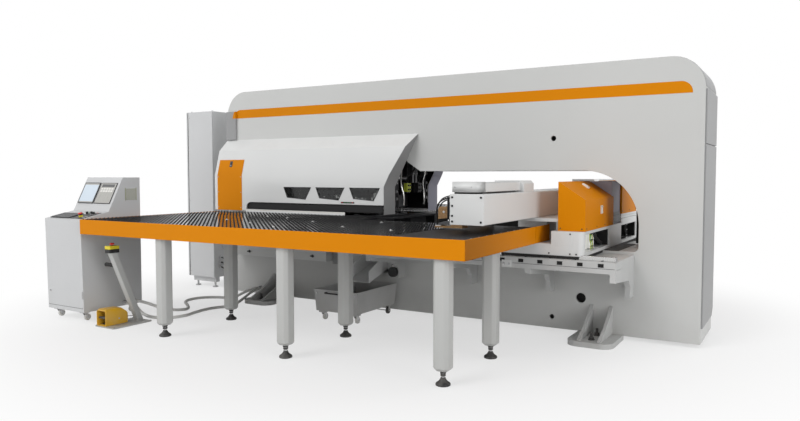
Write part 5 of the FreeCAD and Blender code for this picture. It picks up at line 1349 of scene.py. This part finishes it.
# Door seams, hinges, lock, louvred vent and screws of the cabinet.
@drawPiece("machine", "cabinet_grey", 0.3)
def consoleBody(shape):
    for z in (1070 + k * 9.6 for k in range(11)):  # louvres over the filter on the right side
        outline = [(-1990, z), (-1985.6, z + 1), (-1985.6, z + 2.6), (-1990, z + 6.4)]
        shape.prism(outline, -1664, -1552, "oliveVent", 1)
    for y in (-1668, -1552):
        shape.block((-1990, y, 1064), (-1985, y + 5, 1181), "oliveVent")
    shape.prism(rectangle(-2500, 118, -2000, 122), -2116.2, -2114, "greyPlastic", 1)
    for x in (-2004, -2498):
        shape.prism(rectangle(x - 1, 122, x + 1, 880), -2115.9, -2114, "greyPlastic", 1)
    for z in (210, 780):
        shape.rod((-2000, -2121, z), (-2000, -2121, z + 62), 5, "zinc", 12)
    shape.turned([(11, 0), (11, 2), (9, 4), (9, 7.2), (4, 7.4)], (-2465, -2114.8, 250), "zinc", (0, -1, 0))
    # the keyhole is near-black as painted shade
    shape.block((-2466.5, -2122.9, 243), (-2463.5, -2121.6, 257), "paintedShadeBlack")
    shape.studs(screws["cabinet"], product((-2470, -2030), (-1503,), (190, 700, 1200)), "zinc", yWay)
    # the cooling slots are near-black as painted shade
    for z in (300 + k * 16 for k in range(14)):  # cooling slots in the rear cover
        shape.block((-2380, -1503.4, z), (-2120, -1502, z + 8), "paintedShadeBlack")


# A mushroom head with a domed top on its stem.
def stopButton(name, body, frameOf, stem, brim, top):
    shape = Shape()
    shape.stand = frameOf
    thick = top - brim
    shape.turned([(6, stem), (6, brim), (13, brim + 0.2), (18.4, brim + 0.6), (20, brim + thick * 0.25),
                  (19.6, brim + thick * 0.6), (17, brim + thick * 0.85), (11, top - 0.4), (4, top)],
                 (0, 0, 0), "redCap", sides=28)
    shape.finish(name, body, "red_button", 0, body)


place = consoleFrame(console["deskFoot"], console["deskTop"], console["stopX"], console["stopShare"], 3)
stopButton("consoleStop", "console_estop", place, 10, 25, 40)
print("console is fitted")


# stand with stop box, grip and foot switch
stand = {"x": -1640, "stopY": -2075, "bore": 8, "boxNear": -2125, "boxFar": -2025, "hoodLeft": -1765,
         "hoodRight": -1645, "feet": ((-1765, -2150), (-1535, -2150), (-1535, -1780), (-1765, -1780))}


# The yellow and black box with a well for the stop button's stem.
@drawPiece("machine", "black_plastic", 1.2, "estop_box")
def stopBox(shape):
    x, y = stand["x"], stand["stopY"]
    outline, inner = (roundCorners(rectangle(x - 35 + inset, stand["boxNear"] + inset, x + 35 - inset,
                                             stand["boxFar"] - inset), (9 - inset,) * 4) for inset in (0, 1))
    bore = (x, y, stand["bore"])
    shape.prism(outline, 636, 664, "blackPlastic")
    # a near-black band in the seam between base and lid is painted shade
    for ring, low, high, finish in ((outline, 664, 666.5, "blackPlastic"), (inner, 666.5, 668.5, "paintedShadeBlack"),
                                    (outline, 668.5, 696, "yellowBox")):
        shape.pierced(ring, bore, low, high, finish)
    spots = product((x - 27, x + 27), (stand["boxNear"] + 8, stand["boxFar"] - 8), (0,))
    shape.studs([(3.4, 695.6), (3.4, 697), (2.6, 697.6)], spots, "zinc", sides=10)
    shape.pierced(circle(15, 24, (x, y)), bore, 696, 697.4, "blackPlastic")
    shape.turned([(9, 0), (9, 10), (6, 13), (5, 24)], (x + 34, y, 650), "blackPlastic", xWay, 14)


# Ribbed rubber over the stand's grip bar, with an end cap, and the foot plate's bolts.
@drawPiece("machine", "black_plastic", 0)
def standGrip(shape):
    profile = [(15, 0), (17, 1)]
    for z in (6 + k * 8.2 for k in range(13)):
        profile += [(17, z), (16.2, z + 1.6), (16.2, z + 4.6), (17, z + 6.2)]
    profile += [(17.4, 117), (18, 120), (16, 123.4), (8, 124)]
    shape.turned(profile, (stand["x"] - 28, -2028, 520), "rubber", (-1, 0, 0))
    shape.studs([(8, 0), (8, 4), (6.5, 5.5)], [(x, y, 8) for x, y in stand["feet"]], "zinc", sides=6)


hood = {"rings": ((-1925, 100, 4, 8), (-1934, 112, 0, 8), (-1985, 147, 0, 8), (-2060, 151, 0, 8),
                  (-2130, 154, 0, 8), (-2148, 144, 0, 8), (-2151, 141, 2, 10), (-2149, 137, 6, 14),
                  (-2120, 142, 7, 15), (-1995, 130, 7, 15), (-1992, 126, 10, 18)),
        "round": 20, "cable": (-1705, -1925, 48)}


# A moulded hood with a rounded roof over the treadle, open to the operator; rings are (y, top, inset, low).
@drawPiece("machine", "pedal_yellow", 0.8, "pedal_hood")
def pedalHood(shape):
    left, right = stand["hoodLeft"], stand["hoodRight"]
    loops = []
    for y, top, inset, low in hood["rings"]:
        radii = (3, 3, hood["round"] - inset, hood["round"] - inset)
        outline = roundCorners(rectangle(left + inset, low, right - inset, top), radii, 6)
        loops.append([(x, y, z) for x, z in outline])
    shape.loft(loops, "pedalYellow")
    for y in (-2040, -2014):  # two moulded ribs on the side
        shape.loft([[(left, y, low), (left, y + 6, low), (left + 2, y + 6, high), (left + 2, y, high)]
                    for low, high in ((60, 62), (66, 64))], "pedalYellow")
    for x, way in ((left + 1.2, -1), (right - 1.2, 1)):
        shape.turned([(8, -1), (8, 1.2), (6, 2)], (x, -2015, 58), "zinc", (way, 0, 0), 16)
    shape.block((left + 8, -2118, 15), (right - 8, -1996, 17), "blackIron")
    boot = [(14.4, 0), (14.4, 9), (12.5, 11), (12.5, 16), (11, 20), (4.4, 45)]
    shape.turned(boot, hood["cable"], "blackPlastic", yWay, 20)
    shape.turned([(16, -1), (16, 7)], hood["cable"], "blackPlastic", yWay, 6)


# Ribs across the treadle.
@drawPiece("foot_pedal", "pedal_black", 0.4)
def pedalTread(shape):
    for y in (-2130 + k * 11 for k in range(10)):
        z = 84 - (y + 2138) * 14 / 123
        shape.block((stand["hoodLeft"] + 17, y, z - 1.4), (stand["hoodRight"] - 17, y + 4, z + 1.4), "rubber")


def pedalCable():
    curve = routeCurve("pedalCable", routes["pedalCable"], 16)
    curve.bevel_depth = cords["pedalSize"] / 2 * mm
    curve.bevel_resolution = 4
    curve.use_fill_caps = True
    curve.materials.append(finishes["rubber"])
    piece = placePiece(bpy.data.objects.new("pedalCable", curve), "machine", "black_plastic", "pedal_hood")


pedalCable()
stopButton("standStop", "stand_estop", Matrix.Translation((stand["x"], stand["stopY"], 0)), 672, 704, 721)
print("stand is fitted")


# switch cabinet and slug cart
cabinet = {"hingeZs": (300, 1000, 1750), "grilleZs": (300, 1560), "slats": 14, "pitch": 17,
           "unions": ((236, 14), (292, 18), (350, 12)), "screwZs": (180, 1000, 1960)}


@drawPiece("machine", "cabinet_grey", 0.5)
def cabinetHinges(shape):
    for z in cabinet["hingeZs"]:
        shape.rod((-2776, 601, z), (-2776, 601, z + 90), 6, "zinc", 14)


# Filter grilles with slanting slats.
@drawPiece("cabinet_door", "cabinet_grey", 0.5)
def doorGrilles(shape):
    for low in cabinet["grilleZs"]:
        shape.block((-2795, 60, low), (-2790, 330, low + 260), "greyPlastic")
        for z in (low + 14 + k * cabinet["pitch"] for k in range(cabinet["slats"])):
            outline = [(-2795, z), (-2799, z + 2), (-2799, z + 5), (-2795, z + 12)]
            shape.prism(outline, 76, 314, "greyPlastic", 1)


# A near-black strip as painted shade in the gap at the cabinet's edge, a seam, cable unions low on the side,
# lifting eyes and screws.
@drawPiece("machine", "cabinet_grey", 0.4)
def cabinetFittings(shape):
    shape.block((-2770.8, -206.2, 124), (-2762, -204, 2018), "paintedShadeBlack")
    shape.block((-2374, -206.4, 126), (-2372, -204.5, 2016), "greyPlastic")
    for z, wide in cabinet["unions"]:
        union = [(wide + 5, 0), (wide + 5, 10), (wide, 12), (wide, 22), (wide - 4, 25)]
        shape.turned(union, (-2369.6, -120, z), "zinc", xWay, 6)
        shape.pipe([(-2350, -120, z), (-2318, -120, z), (-2300, -112, z - 30), (-2298, -100, z - 90),
                    (-2298, -96, 60)], wide * 0.6, "rubber")
    spots = product((-2735, -2405), (-170, 560), (0,))
    shape.studs([(15, 2020), (15, 2025), (11, 2027), (11, 2034), (8, 2036)], spots, "zinc", sides=16)
    shape.studs(screws["cabinet"], product((-2745, -2395), (-205,), cabinet["screwZs"]), "zinc", (0, -1, 0))


cart = {"end": -985, "grip": -1030, "high": 262, "left": -170, "right": 20, "thick": 7}


# A push handle and rivets on the slug cart.
@drawPiece("cart", "cabinet_grey", 0.3)
def cartFittings(shape):
    left, right, end, grip, high = (cart[key] for key in ("left", "right", "end", "grip", "high"))
    shape.studs([(7, 0), (7, 2.4), (5.6, 3.4)], [(x, -996, 250) for x in (-280, 130)], "zinc", (0, -1, 0))
    line = [(left, end), (left, grip + 8), (left + 7, grip),
            (right - 7, grip), (right, grip + 8), (right, end)]
    shape.tube([(x, y, high) for x, y in line], [cart["thick"]] * len(line), "blackIron")


print("cabinet and cart are fitted")
